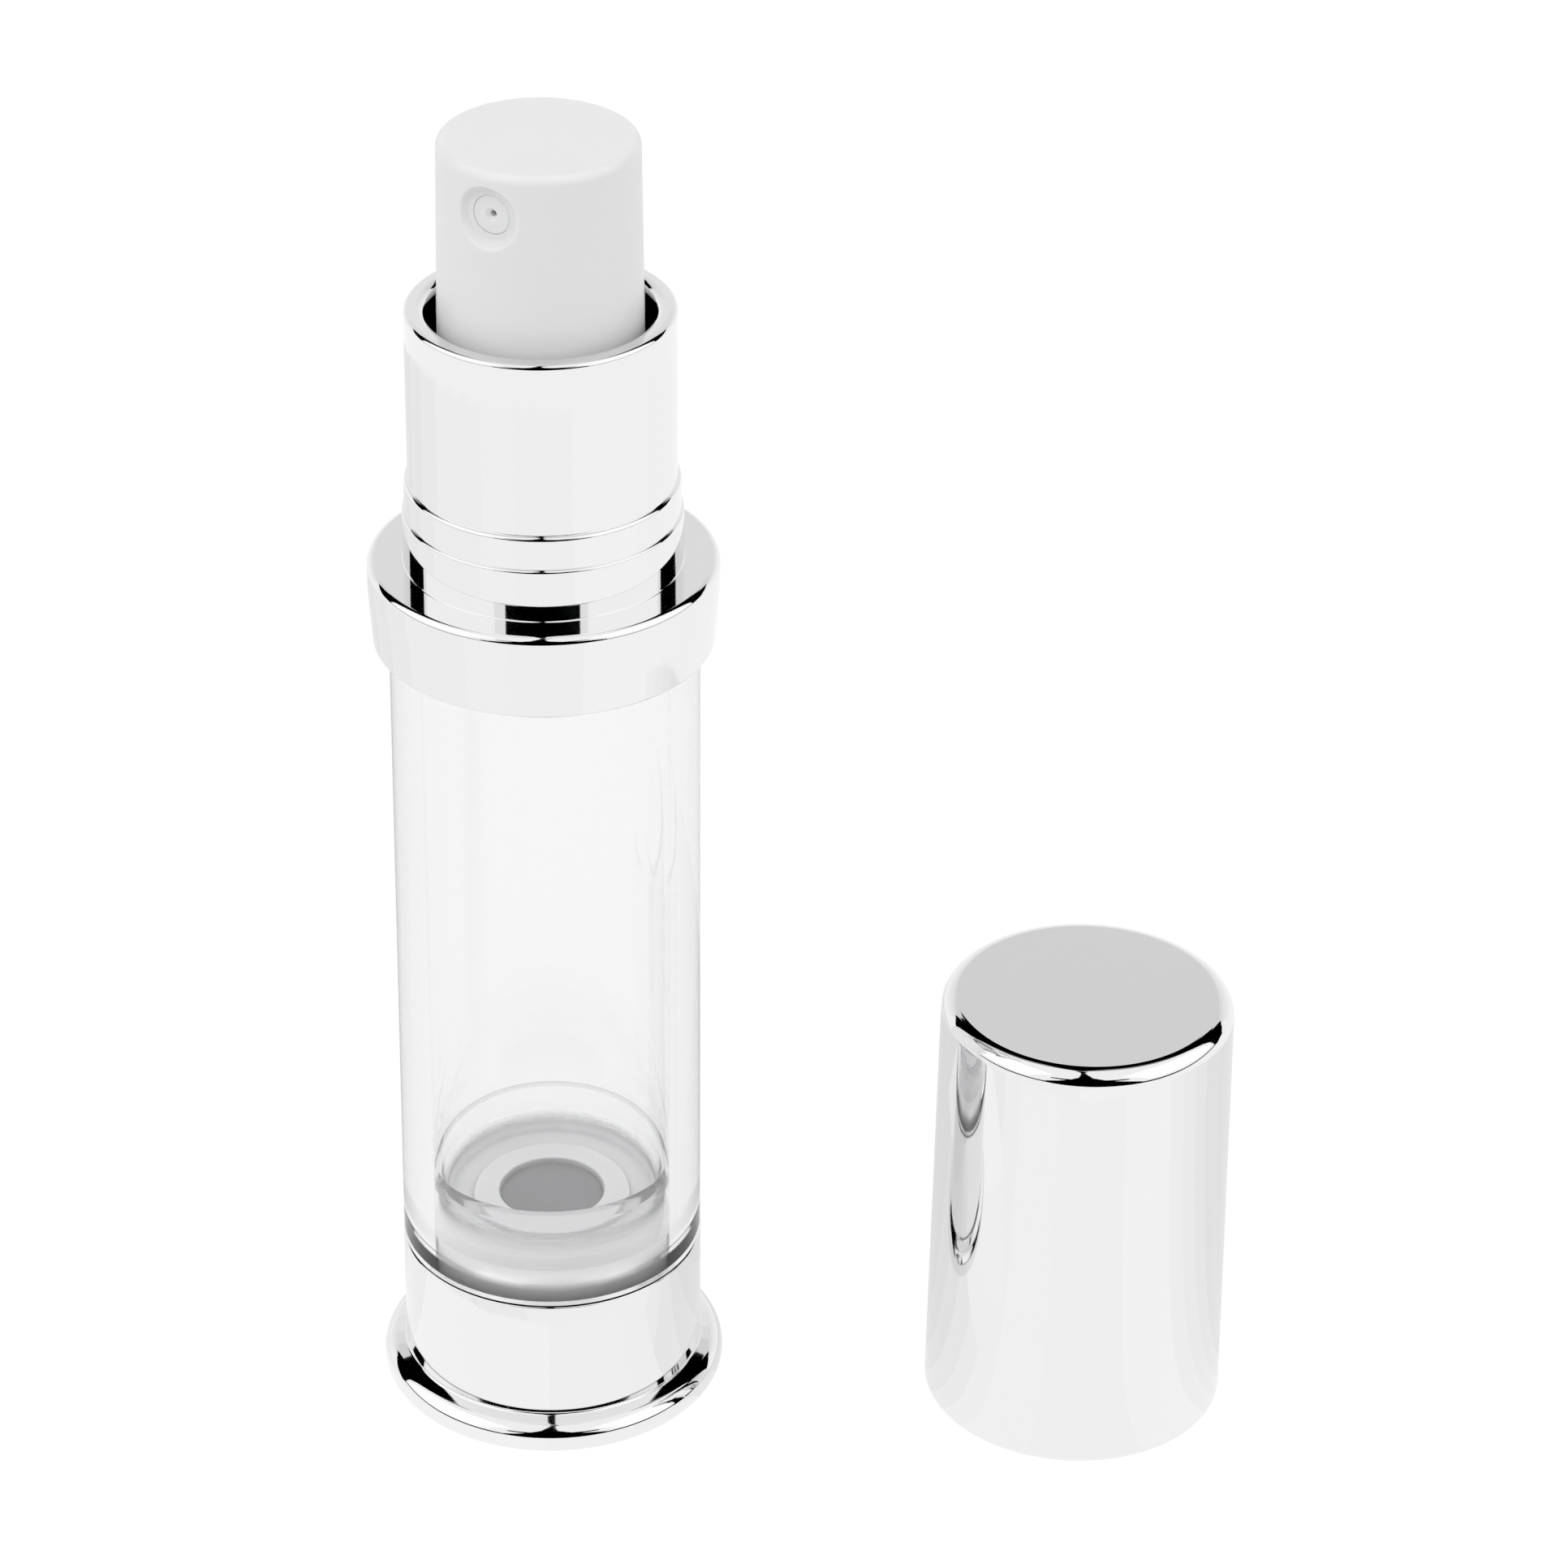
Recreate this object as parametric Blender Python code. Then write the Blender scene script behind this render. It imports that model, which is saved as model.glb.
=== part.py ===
"""A small airless serum dispenser, with its cap standing beside it.

Every piece of the bottle is turned about the vertical axis at x = y = 0, and z = 0 is the table.
Sizes are in metres. The driving sizes come first, and each piece takes what it fits from them.
"""

import math

import bmesh
import bpy
from mathutils import Matrix, Vector

# Clearances
SEAT_GAP = 0.0001  # between faces that rest on each other
FIT_GAP = 0.0002  # between pieces pushed into each other
TURN_GAP = 0.0003  # between pieces that turn or slide past each other
LIP_GAP = 0.00006  # between a wiping lip and its bore
SMALL_FILLET = 0.0002

# Barrel
BARREL_RADIUS = 0.00992  # just above the base
BARREL_DRAFT = 0.0001
BARREL_WALL = 0.00202
BARREL_HEIGHT = 0.0563  # up to its shoulder
SHOULDER_WALL = 0.0013
SHOULDER_STEP = 0.00232
NECK_WALL = 0.0015
NECK_LENGTH = 0.0026
BORE_CONE_HEIGHT = 0.0009

# Base
BASE_HEIGHT = 0.0110
BASE_STEP = 0.00003  # how far the base stands out from the barrel
BASE_WALL = 0.0008
BASE_FLOOR = 0.0012
FOOT_REACH = 0.0015  # beyond the sleeve
FOOT_HEIGHT = 0.00233  # where its upper side meets the sleeve
FOOT_FALL = 0.0004  # of its upper side, towards its edge
FOOT_EDGE_FILLET = 0.0011
FOOT_LOW_FILLET = 0.0009
REST_RING_HEIGHT = 0.0130
REST_RING_WALL = 0.0010
VENT_RADIUS = 0.0008
VENT_OFFSET = 0.0042

# Follower piston
FOLLOWER_HEIGHT = 0.0043
FOLLOWER_RIM = 0.0003
FOLLOWER_WALL = 0.0009
FOLLOWER_WAIST = 0.00025  # how far the wall draws in between its two lips
FOLLOWER_LIP_HEIGHT = 0.0008
FOLLOWER_WEB_HEIGHT = 0.0002  # underside of the web over the lower rim
FOLLOWER_WEB = 0.0006
FOLLOWER_WEB_SLOPE = 0.0002
FOLLOWER_RING_OUTER = 0.0052
FOLLOWER_RING_INNER = 0.0035
FOLLOWER_RING_HEIGHT = 0.0004

# Collar
COLLAR_OVERLAP = 0.0002  # how far the flange hangs below the barrel's shoulder
FLANGE_WALL = 0.00095
FLANGE_TAPER = 0.00027
FLANGE_TAPER_DEPTH = 0.00195
FLANGE_PLATE = 0.0008
FLANGE_FILLET = 0.00045
TUBE_RADIUS = 0.0084
TUBE_WALL = 0.00135
TUBE_LENGTH = 0.01715  # above the flange
TUBE_RIM_FILLET = 0.0004
GROOVE_RISE = 0.00145
GROOVE_DEPTH = 0.00004
GROOVE_WIDTH = 0.0003
BEAD_RISE = 0.00345
BEAD_HEIGHT = 0.0022
BEAD_STEP = 0.0004
BEAD_FILLET = 0.0003

# Closure and gasket
CLOSURE_WALL = 0.0013
CLOSURE_PLATE = 0.00055
GASKET_THICKNESS = 0.0004

# Pump housing
HOUSING_DEPTH = 0.0067  # below the top of the neck
HOUSING_BORE_RADIUS = 0.0030
HOUSING_WALL = 0.0011
HOUSING_FLANGE = 0.0005
HOUSING_PLUG_LENGTH = 0.0020
INLET_RADIUS = 0.0009
INLET_LENGTH = 0.0008
BALL_RADIUS = 0.0012
BALL_PLAY = 0.0003  # around the ball in its cage
BALL_LIFT = 0.0007
RETAINER_THICKNESS = 0.0006
RETAINER_HOLE_RADIUS = 0.0008
RETAINER_SLOTS = 3
RETAINER_SLOT_WIDTH = 0.0006

# Spring
PRESS_STROKE = 0.0040
SPRING_RADIUS = 0.0021
SPRING_WIRE = 0.0004
SPRING_TURNS = 6
SPRING_SPARE = 0.0008  # length left over the closed turns when the button is down
POINTS_PER_TURN = 9

# Plunger and outlet valve
SEAL_LAG = 0.0005
PIN_HEAD_RADIUS = 0.0023
PIN_HEAD_HEIGHT = 0.0010
PIN_RADIUS = 0.0009
PIN_GRIP_LENGTH = 0.0042
PIN_GROOVE_WIDTH = 0.0006
PIN_GROOVE_DEPTH = 0.0005
SEAL_HEIGHT = 0.0028
SEAL_WAIST = 0.0004
SEAL_LIP_HEIGHT = 0.0005
STEM_WALL = 0.0007
STEM_BORE_RADIUS = 0.0007
STEM_COLLAR_WIDTH = 0.0009
STEM_COLLAR_HEIGHT = 0.0008
STEM_LENGTH = 0.0131

# Stem guide
GUIDE_PLATE = 0.0009
GUIDE_WALL = 0.0008
GUIDE_SKIRT_LENGTH = 0.0056

# Actuator
ACTUATOR_HEIGHT = 0.0146
ACTUATOR_RADIUS = 0.0064  # at its foot
ACTUATOR_DRAFT = 0.0002
ACTUATOR_TOP_FILLET = 0.00075
ACTUATOR_ROOF = 0.0013
ACTUATOR_WALL = 0.0012
SOCKET_DEPTH = 0.0064
SOCKET_WALL = 0.0011
NOZZLE_DROP = 0.0030  # below the top of the button
NOZZLE_TURN = math.radians(-28)  # from the front, seen from above
NOZZLE_BOSS_WALL = 0.0009
NOZZLE_RECESS_WIDTH = 0.0006  # around the insert
NOZZLE_RECESS_DEPTH = 0.0007
INSERT_RADIUS = 0.00125
INSERT_LENGTH = 0.0016
ORIFICE_RADIUS = 0.0002
SWIRL_RADIUS = 0.0006
SWIRL_DEPTH = 0.0009
CHANNEL_RADIUS = 0.0005

# Cap
CAP_X = 0.0352
CAP_Y = -0.00143
CAP_GRIP_GAP = 0.00007  # between the bead and the inside of the cap
CAP_TUBE_GAP = 0.0002
CAP_HEADROOM = 0.0008  # over the button when the cap is on
CAP_MOUTH_WALL = 0.00109
CAP_CROWN_WALL = 0.00095
CAP_TOP_WALL = 0.0012
CAP_TOP_FILLET = 0.0011

# Facets
SHOWN_SEGMENTS = 40
HIDDEN_SEGMENTS = 24
SMALL_SEGMENTS = 16
ARC_PIECE = 0.0005  # greatest length of the pieces that a fillet is drawn in


def clear_scene():
    for obj in list(bpy.data.objects):
        bpy.data.objects.remove(obj)


def material(name, colour, metallic=0.0, roughness=0.3, transmission=0.0):
    made = bpy.data.materials.new(name)
    made.use_nodes = True
    shader = made.node_tree.nodes["Principled BSDF"]
    shader.inputs["Base Color"].default_value = (*colour, 1.0)
    shader.inputs["Metallic"].default_value = metallic
    shader.inputs["Roughness"].default_value = roughness
    shader.inputs["Transmission Weight"].default_value = transmission
    made.diffuse_color = (*colour, 1.0)
    return made


def rounded(corners):
    """The closed outline through corners of (radius, height) or (radius, height, fillet)."""
    points = []
    for index, corner in enumerate(corners):
        here = Vector(corner[:2])
        if len(corner) == 2:
            points.append(here)
            continue
        back = Vector(corners[index - 1][:2]) - here
        ahead = Vector(corners[(index + 1) % len(corners)][:2]) - here
        half = back.angle(ahead) / 2
        room = 0.95 * min(back.length, ahead.length)
        fillet = min(corner[2], room * math.tan(half))
        centre = here + (back.normalized() + ahead.normalized()).normalized() * fillet / math.sin(half)
        start = (here + back.normalized() * fillet / math.tan(half) - centre).normalized()
        end = (here + ahead.normalized() * fillet / math.tan(half) - centre).normalized()
        steps = max(2, math.ceil(fillet * start.angle(end) / ARC_PIECE))
        arc = [start.slerp(end, step / steps) for step in range(steps + 1)]
        points += [centre + direction * fillet for direction in arc]
    return points


def finish(obj, colour, parent, location):
    bpy.context.scene.collection.objects.link(obj)
    obj.data.materials.append(colour)
    obj.parent = parent
    obj.location = Vector(location) - (parent.matrix_world.translation if parent else Vector())
    bpy.context.view_layer.update()
    return obj


def turned(name, corners, colour, parent, origin_height, segments=SHOWN_SEGMENTS, centre=(0.0, 0.0)):
    """A solid of revolution from its outline, with its origin on the axis at origin_height."""
    shape = bmesh.new()
    outline = [shape.verts.new((point.x, 0, point.y - origin_height)) for point in rounded(corners)]
    for here, following in zip(outline, outline[1:] + outline[:1]):
        if here.co.x or following.co.x:
            shape.edges.new((here, following))
    bmesh.ops.spin(
        shape,
        geom=shape.verts[:] + shape.edges[:],
        cent=(0, 0, 0),
        axis=(0, 0, 1),
        angle=2 * math.pi,
        steps=segments,
        use_merge=True,
    )
    bmesh.ops.remove_doubles(shape, verts=shape.verts, dist=1e-7)
    bmesh.ops.recalc_face_normals(shape, faces=shape.faces)
    mesh = bpy.data.meshes.new(name)
    shape.to_mesh(mesh)
    shape.free()
    mesh.shade_smooth()
    mesh.set_sharp_from_angle(angle=math.radians(35))
    return finish(bpy.data.objects.new(name, mesh), colour, parent, (*centre, origin_height))


def rod(name, radius, start, end, segments=SMALL_SEGMENTS):
    """A cutter or a boss: a cylinder between two points, left out of renders."""
    start, end = Vector(start), Vector(end)
    shape = bmesh.new()
    turn = (end - start).to_track_quat("Z", "Y").to_matrix().to_4x4()
    bmesh.ops.create_cone(
        shape,
        cap_ends=True,
        segments=segments,
        radius1=radius,
        radius2=radius,
        depth=(end - start).length,
        matrix=Matrix.Translation((start + end) / 2) @ turn,
    )
    return helper(name, shape)


def block(name, size, centre, turn=0.0):
    """A box-shaped cutter, turned about the vertical axis."""
    shape = bmesh.new()
    place = Matrix.Rotation(turn, 4, "Z") @ Matrix.Translation(centre) @ Matrix.Diagonal((*size, 1))
    bmesh.ops.create_cube(shape, size=1, matrix=place)
    return helper(name, shape)


def helper(name, shape):
    mesh = bpy.data.meshes.new(name)
    shape.to_mesh(mesh)
    shape.free()
    made = bpy.data.objects.new(name, mesh)
    made.hide_render = True
    made.display_type = "WIRE"
    bpy.context.scene.collection.objects.link(made)
    return made


def combine(obj, other, operation="DIFFERENCE"):
    """Cuts a helper from the object, or joins it to it. The helper keeps its place in the world."""
    modifier = obj.modifiers.new(other.name, "BOOLEAN")
    modifier.operation = operation
    modifier.solver = "EXACT"
    modifier.object = other


def joint(name, parent, height, centre=(0.0, 0.0)):
    """An empty on a joint's axis, for the pieces that move with it."""
    empty = bpy.data.objects.new(name, None)
    empty.empty_display_size = 0.004
    bpy.context.scene.collection.objects.link(empty)
    empty.parent = parent
    empty.location = Vector((*centre, height)) - (parent.matrix_world.translation if parent else Vector())
    bpy.context.view_layer.update()
    return empty


clear_scene()

chrome = material("chrome", (0.90, 0.90, 0.91), metallic=1.0, roughness=0.04)
clear_plastic = material("clear_plastic", (0.96, 0.97, 0.98), roughness=0.03, transmission=1.0)
white_plastic = material("white_plastic", (0.86, 0.86, 0.86), roughness=0.35)
milky_plastic = material("milky_plastic", (0.80, 0.81, 0.82), roughness=0.4, transmission=0.3)
natural_plastic = material("natural_plastic", (0.83, 0.83, 0.81), roughness=0.45)
seal_plastic = material("seal_plastic", (0.75, 0.77, 0.80), roughness=0.5)
steel = material("steel", (0.62, 0.62, 0.63), metallic=1.0, roughness=0.25)

# Radii that several pieces share
barrel_top_radius = BARREL_RADIUS - BARREL_DRAFT
bore_radius = BARREL_RADIUS - BARREL_WALL
neck_radius = barrel_top_radius - SHOULDER_STEP
neck_bore_radius = neck_radius - NECK_WALL
base_radius = BARREL_RADIUS + BASE_STEP
skirt_bore_radius = barrel_top_radius + TURN_GAP
bead_radius = TUBE_RADIUS + BEAD_STEP
housing_radius = HOUSING_BORE_RADIUS + HOUSING_WALL
cage_radius = BALL_RADIUS + BALL_PLAY
grip_bore_radius = PIN_RADIUS + SEAT_GAP
stem_radius = grip_bore_radius + STEM_WALL

# Heights that several pieces share, from the table up
neck_top = BARREL_HEIGHT + NECK_LENGTH
gasket_bottom = neck_top + SEAT_GAP
housing_flange_bottom = gasket_bottom + GASKET_THICKNESS + SEAT_GAP
closure_plate_bottom = housing_flange_bottom + HOUSING_FLANGE + SEAT_GAP
closure_top = closure_plate_bottom + CLOSURE_PLATE
collar_bottom = BARREL_HEIGHT - COLLAR_OVERLAP
flange_plate_bottom = closure_top + TURN_GAP
flange_top = flange_plate_bottom + FLANGE_PLATE
bead_top = flange_top + BEAD_RISE + BEAD_HEIGHT
housing_bottom = neck_top - HOUSING_DEPTH
cage_bottom = housing_bottom + INLET_LENGTH
ball_height = cage_bottom + math.sqrt(BALL_RADIUS**2 - INLET_RADIUS**2) + SEAT_GAP
retainer_bottom = ball_height + BALL_RADIUS + BALL_LIFT + SEAT_GAP
spring_bottom = retainer_bottom + RETAINER_THICKNESS + SEAT_GAP
spring_length = PRESS_STROKE + (SPRING_TURNS + 1) * SPRING_WIRE + SPRING_SPARE
pin_bottom = spring_bottom + spring_length + SEAT_GAP
seal_bottom = pin_bottom + PIN_HEAD_HEIGHT + SEAT_GAP
stem_bottom = seal_bottom + SEAL_HEIGHT + SEAL_LAG + SEAT_GAP
stem_collar_top = stem_bottom + STEM_COLLAR_HEIGHT
guide_plate_bottom = stem_collar_top + SEAT_GAP
guide_top = guide_plate_bottom + GUIDE_PLATE
housing_top = guide_plate_bottom - SEAT_GAP
stem_top = stem_bottom + STEM_LENGTH
actuator_bottom = stem_top + SEAT_GAP - SOCKET_DEPTH
actuator_top = actuator_bottom + ACTUATOR_HEIGHT
follower_bottom = REST_RING_HEIGHT + TURN_GAP

bottle = joint("bottle", None, 0)
follower_slide = joint("follower_slide", bottle, follower_bottom)
head_lift = joint("head_lift", bottle, neck_top)
head_turn = joint("head_turn", head_lift, neck_top)
ball_rise = joint("ball_rise", head_turn, ball_height)
seal_slide = joint("seal_slide", head_turn, seal_bottom)
press = joint("press", head_turn, stem_bottom)
button_turn = joint("button_turn", press, actuator_bottom)
cap_lift = joint("cap_lift", bottle, 0, (CAP_X, CAP_Y))


def make_barrel():
    """Clear tube whose lower end is turned down to sit inside the base, with the pump's neck on top."""
    spigot = base_radius - BASE_WALL - FIT_GAP
    shoulder_inside = BARREL_HEIGHT - SHOULDER_WALL
    corners = [
        (bore_radius, BASE_FLOOR + SEAT_GAP),
        (spigot, BASE_FLOOR + SEAT_GAP, SMALL_FILLET),
        (spigot, BASE_HEIGHT + SEAT_GAP),
        (BARREL_RADIUS, BASE_HEIGHT + SEAT_GAP),
        (barrel_top_radius, BARREL_HEIGHT, SMALL_FILLET),
        (neck_radius, BARREL_HEIGHT),
        (neck_radius, neck_top, SMALL_FILLET),
        (neck_bore_radius, neck_top),
        (neck_bore_radius, shoulder_inside + BORE_CONE_HEIGHT),
        (bore_radius, shoulder_inside),
    ]
    turned("barrel", corners, clear_plastic, bottle, 0)


def make_base():
    """Chromed sleeve on a rounded foot, and the ring inside it that stops the follower piston."""
    rest_outer = bore_radius - FIT_GAP
    corners = [
        (0, 0),
        (base_radius + FOOT_REACH, 0, FOOT_LOW_FILLET),
        (base_radius + FOOT_REACH, FOOT_HEIGHT - FOOT_FALL, FOOT_EDGE_FILLET),
        (base_radius, FOOT_HEIGHT, SMALL_FILLET),
        (base_radius, BASE_HEIGHT, SMALL_FILLET / 2),
        (base_radius - BASE_WALL, BASE_HEIGHT, SMALL_FILLET / 2),
        (base_radius - BASE_WALL, BASE_FLOOR),
        (rest_outer, BASE_FLOOR),
        (rest_outer, REST_RING_HEIGHT, SMALL_FILLET),
        (rest_outer - REST_RING_WALL, REST_RING_HEIGHT, SMALL_FILLET),
        (rest_outer - REST_RING_WALL, BASE_FLOOR),
        (0, BASE_FLOOR),
    ]
    base = turned("base", corners, chrome, bottle, 0)
    vent = rod("vent_cutter", VENT_RADIUS, (0, VENT_OFFSET, -BASE_FLOOR), (0, VENT_OFFSET, 2 * BASE_FLOOR))
    combine(base, vent)


def make_follower():
    """Piston with a wiping lip at each end and a stepped web, lifted by the air let in under it."""
    lip = bore_radius - LIP_GAP
    waist = lip - FOLLOWER_WAIST
    inside = lip - FOLLOWER_WALL
    top = follower_bottom + FOLLOWER_HEIGHT
    web_bottom = follower_bottom + FOLLOWER_WEB_HEIGHT
    web_top = web_bottom + FOLLOWER_WEB
    web_low = web_top - FOLLOWER_WEB_SLOPE
    corners = [
        (0, web_bottom),
        (inside - SMALL_FILLET, web_bottom),
        (inside, follower_bottom),
        (lip, follower_bottom, SMALL_FILLET / 2),
        (lip, follower_bottom + FOLLOWER_LIP_HEIGHT),
        (waist, follower_bottom + 1.5 * FOLLOWER_LIP_HEIGHT),
        (waist, top - 1.5 * FOLLOWER_LIP_HEIGHT),
        (lip, top - FOLLOWER_LIP_HEIGHT),
        (lip, top, SMALL_FILLET / 2),
        (lip - FOLLOWER_RIM, top, SMALL_FILLET / 2),
        (inside, top - 2 * FOLLOWER_LIP_HEIGHT),
        (inside, web_top, SMALL_FILLET),
        (FOLLOWER_RING_OUTER, web_low),
        (FOLLOWER_RING_OUTER, web_low + FOLLOWER_RING_HEIGHT, SMALL_FILLET / 2),
        (FOLLOWER_RING_INNER, web_low + FOLLOWER_RING_HEIGHT, SMALL_FILLET / 2),
        (FOLLOWER_RING_INNER, web_low),
        (0, web_low),
    ]
    turned("follower_piston", corners, milky_plastic, follower_slide, follower_bottom)


def make_collar():
    """Chromed flange, neck, bead and upper tube in one, pressed over the closure."""
    flange_radius = skirt_bore_radius + FLANGE_WALL
    tube_bore_radius = TUBE_RADIUS - TUBE_WALL
    tube_top = flange_top + TUBE_LENGTH
    groove_height = flange_top + GROOVE_RISE
    bead_bottom = flange_top + BEAD_RISE
    corners = [
        (skirt_bore_radius, collar_bottom),
        (flange_radius - FLANGE_TAPER, collar_bottom, SMALL_FILLET),
        (flange_radius, flange_top - FLANGE_TAPER_DEPTH, FLANGE_TAPER_DEPTH),
        (flange_radius, flange_top, FLANGE_FILLET),
        (TUBE_RADIUS, flange_top, SMALL_FILLET),
        (TUBE_RADIUS, groove_height - GROOVE_WIDTH / 2),
        (TUBE_RADIUS - GROOVE_DEPTH, groove_height),
        (TUBE_RADIUS, groove_height + GROOVE_WIDTH / 2),
        (TUBE_RADIUS, bead_bottom),
        (bead_radius, bead_bottom, BEAD_FILLET),
        (bead_radius, bead_top, BEAD_FILLET),
        (TUBE_RADIUS, bead_top),
        (TUBE_RADIUS, tube_top, TUBE_RIM_FILLET),
        (tube_bore_radius, tube_top, TUBE_RIM_FILLET),
        (tube_bore_radius, flange_plate_bottom),
        (skirt_bore_radius, flange_plate_bottom),
    ]
    turned("collar", corners, chrome, head_turn, collar_bottom)


def make_closure():
    """Ring that screws on the neck and clamps the housing and its gasket down on it."""
    inside = neck_radius + TURN_GAP
    edge = skirt_bore_radius - FIT_GAP
    bottom = BARREL_HEIGHT + TURN_GAP
    hole = housing_radius + FIT_GAP
    corners = [
        (inside, bottom),
        (inside + CLOSURE_WALL, bottom, SMALL_FILLET),
        (inside + CLOSURE_WALL, closure_plate_bottom),
        (edge, closure_plate_bottom),
        (edge, closure_top),
        (hole, closure_top),
        (hole, closure_plate_bottom),
        (inside, closure_plate_bottom),
    ]
    turned("closure", corners, natural_plastic, head_turn, bottom, HIDDEN_SEGMENTS)


def make_gasket():
    corners = [
        (neck_bore_radius, gasket_bottom),
        (neck_radius, gasket_bottom),
        (neck_radius, gasket_bottom + GASKET_THICKNESS),
        (neck_bore_radius, gasket_bottom + GASKET_THICKNESS),
    ]
    turned("neck_gasket", corners, seal_plastic, head_lift, gasket_bottom, HIDDEN_SEGMENTS)


def make_housing():
    """Pump cylinder with its inlet and ball cage below, held by its flange between neck and closure."""
    plug = neck_bore_radius - FIT_GAP
    foot = cage_radius + HOUSING_WALL
    corners = [
        (INLET_RADIUS, housing_bottom),
        (foot, housing_bottom, SMALL_FILLET),
        (foot, retainer_bottom - SMALL_FILLET),
        (housing_radius, retainer_bottom + SMALL_FILLET),
        (housing_radius, housing_flange_bottom - HOUSING_PLUG_LENGTH),
        (plug, housing_flange_bottom - HOUSING_PLUG_LENGTH, SMALL_FILLET),
        (plug, housing_flange_bottom),
        (neck_radius, housing_flange_bottom),
        (neck_radius, housing_flange_bottom + HOUSING_FLANGE),
        (housing_radius, housing_flange_bottom + HOUSING_FLANGE),
        (housing_radius, housing_top),
        (HOUSING_BORE_RADIUS, housing_top),
        (HOUSING_BORE_RADIUS, retainer_bottom - SEAT_GAP),
        (cage_radius, retainer_bottom - SEAT_GAP),
        (cage_radius, cage_bottom + cage_radius - INLET_RADIUS),
        (INLET_RADIUS, cage_bottom),
    ]
    turned("pump_housing", corners, natural_plastic, head_turn, housing_bottom, HIDDEN_SEGMENTS)


def make_inlet_valve():
    """The ball, and the slotted ring that keeps it in its cage."""
    shape = bmesh.new()
    bmesh.ops.create_icosphere(shape, subdivisions=2, radius=BALL_RADIUS)
    mesh = bpy.data.meshes.new("inlet_ball")
    shape.to_mesh(mesh)
    shape.free()
    mesh.shade_smooth()
    finish(bpy.data.objects.new("inlet_ball", mesh), steel, ball_rise, (0, 0, ball_height))

    outer = HOUSING_BORE_RADIUS - LIP_GAP
    top = retainer_bottom + RETAINER_THICKNESS
    corners = [
        (RETAINER_HOLE_RADIUS, retainer_bottom),
        (outer, retainer_bottom),
        (outer, top),
        (RETAINER_HOLE_RADIUS, top),
    ]
    retainer = turned("ball_retainer", corners, natural_plastic, head_turn, retainer_bottom, HIDDEN_SEGMENTS)
    slot_end = SPRING_RADIUS - SPRING_WIRE
    for index in range(RETAINER_SLOTS):
        slot = block(
            f"retainer_slot_cutter_{index + 1}",
            (slot_end, RETAINER_SLOT_WIDTH, 4 * RETAINER_THICKNESS),
            (slot_end / 2, 0, retainer_bottom),
            2 * math.pi * index / RETAINER_SLOTS,
        )
        combine(retainer, slot)


def spring_point(turn):
    """A point on the middle of the wire, so many turns up from the lower end."""
    angle = 2 * math.pi * turn
    low = spring_bottom + SPRING_WIRE / 2
    climb = (spring_length - SPRING_WIRE) * turn / SPRING_TURNS
    return Vector((SPRING_RADIUS * math.cos(angle), SPRING_RADIUS * math.sin(angle), low + climb))


def least_spring_gap():
    """The least distance between the faces of wire half a turn or more apart."""
    count = SPRING_TURNS * POINTS_PER_TURN
    points = [spring_point(index / POINTS_PER_TURN) for index in range(count + 1)]
    apart = POINTS_PER_TURN // 2 + 1
    nearest = min(
        (second - first).length
        for index, first in enumerate(points)
        for second in points[index + apart :]
    )
    return nearest - SPRING_WIRE


def make_spring():
    """Steel spring wound from one wire, from the retainer up to the head of the pin."""
    count = SPRING_TURNS * POINTS_PER_TURN + 1
    curve = bpy.data.curves.new("return_spring", "CURVE")
    curve.dimensions = "3D"
    curve.bevel_depth = SPRING_WIRE / 2
    curve.bevel_resolution = 1
    curve.use_fill_caps = True
    wire = curve.splines.new("POLY")
    wire.points.add(count - 1)
    for index, point in enumerate(wire.points):
        place = spring_point(index / POINTS_PER_TURN)
        point.co = (place.x, place.y, place.z - spring_bottom, 1)
    finish(bpy.data.objects.new("return_spring", curve), steel, head_turn, (0, 0, spring_bottom))
    print(f"least gap between the turns of the spring: {1000 * least_spring_gap():.2f} mm")


def make_stem():
    """Hollow stem, and the grooved pin pressed into it, whose head opens and shuts the outlet."""
    pin_top = stem_bottom + PIN_GRIP_LENGTH
    stem_corners = [
        (grip_bore_radius, stem_bottom),
        (stem_radius + STEM_COLLAR_WIDTH, stem_bottom, SMALL_FILLET),
        (stem_radius + STEM_COLLAR_WIDTH, stem_collar_top),
        (stem_radius, stem_collar_top),
        (stem_radius, stem_top, SMALL_FILLET),
        (STEM_BORE_RADIUS, stem_top),
        (STEM_BORE_RADIUS, pin_top + SEAT_GAP),
        (grip_bore_radius, pin_top + SEAT_GAP),
    ]
    turned("stem", stem_corners, white_plastic, press, stem_bottom, HIDDEN_SEGMENTS)
    pin_corners = [
        (0, pin_bottom),
        (PIN_HEAD_RADIUS, pin_bottom, SMALL_FILLET),
        (PIN_HEAD_RADIUS, pin_bottom + PIN_HEAD_HEIGHT / 2),
        (PIN_HEAD_RADIUS - PIN_HEAD_HEIGHT / 2, pin_bottom + PIN_HEAD_HEIGHT),
        (PIN_RADIUS, pin_bottom + PIN_HEAD_HEIGHT),
        (PIN_RADIUS, pin_top, SMALL_FILLET),
        (0, pin_top),
    ]
    pin = turned("stem_pin", pin_corners, natural_plastic, press, pin_bottom, HIDDEN_SEGMENTS)
    groove_bottom = seal_bottom + SEAT_GAP
    groove_length = pin_top + PIN_RADIUS - groove_bottom
    groove = block(
        "pin_groove_cutter",
        (2 * PIN_GROOVE_DEPTH, PIN_GROOVE_WIDTH, groove_length),
        (PIN_RADIUS, 0, groove_bottom + groove_length / 2),
    )
    combine(pin, groove)


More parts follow.
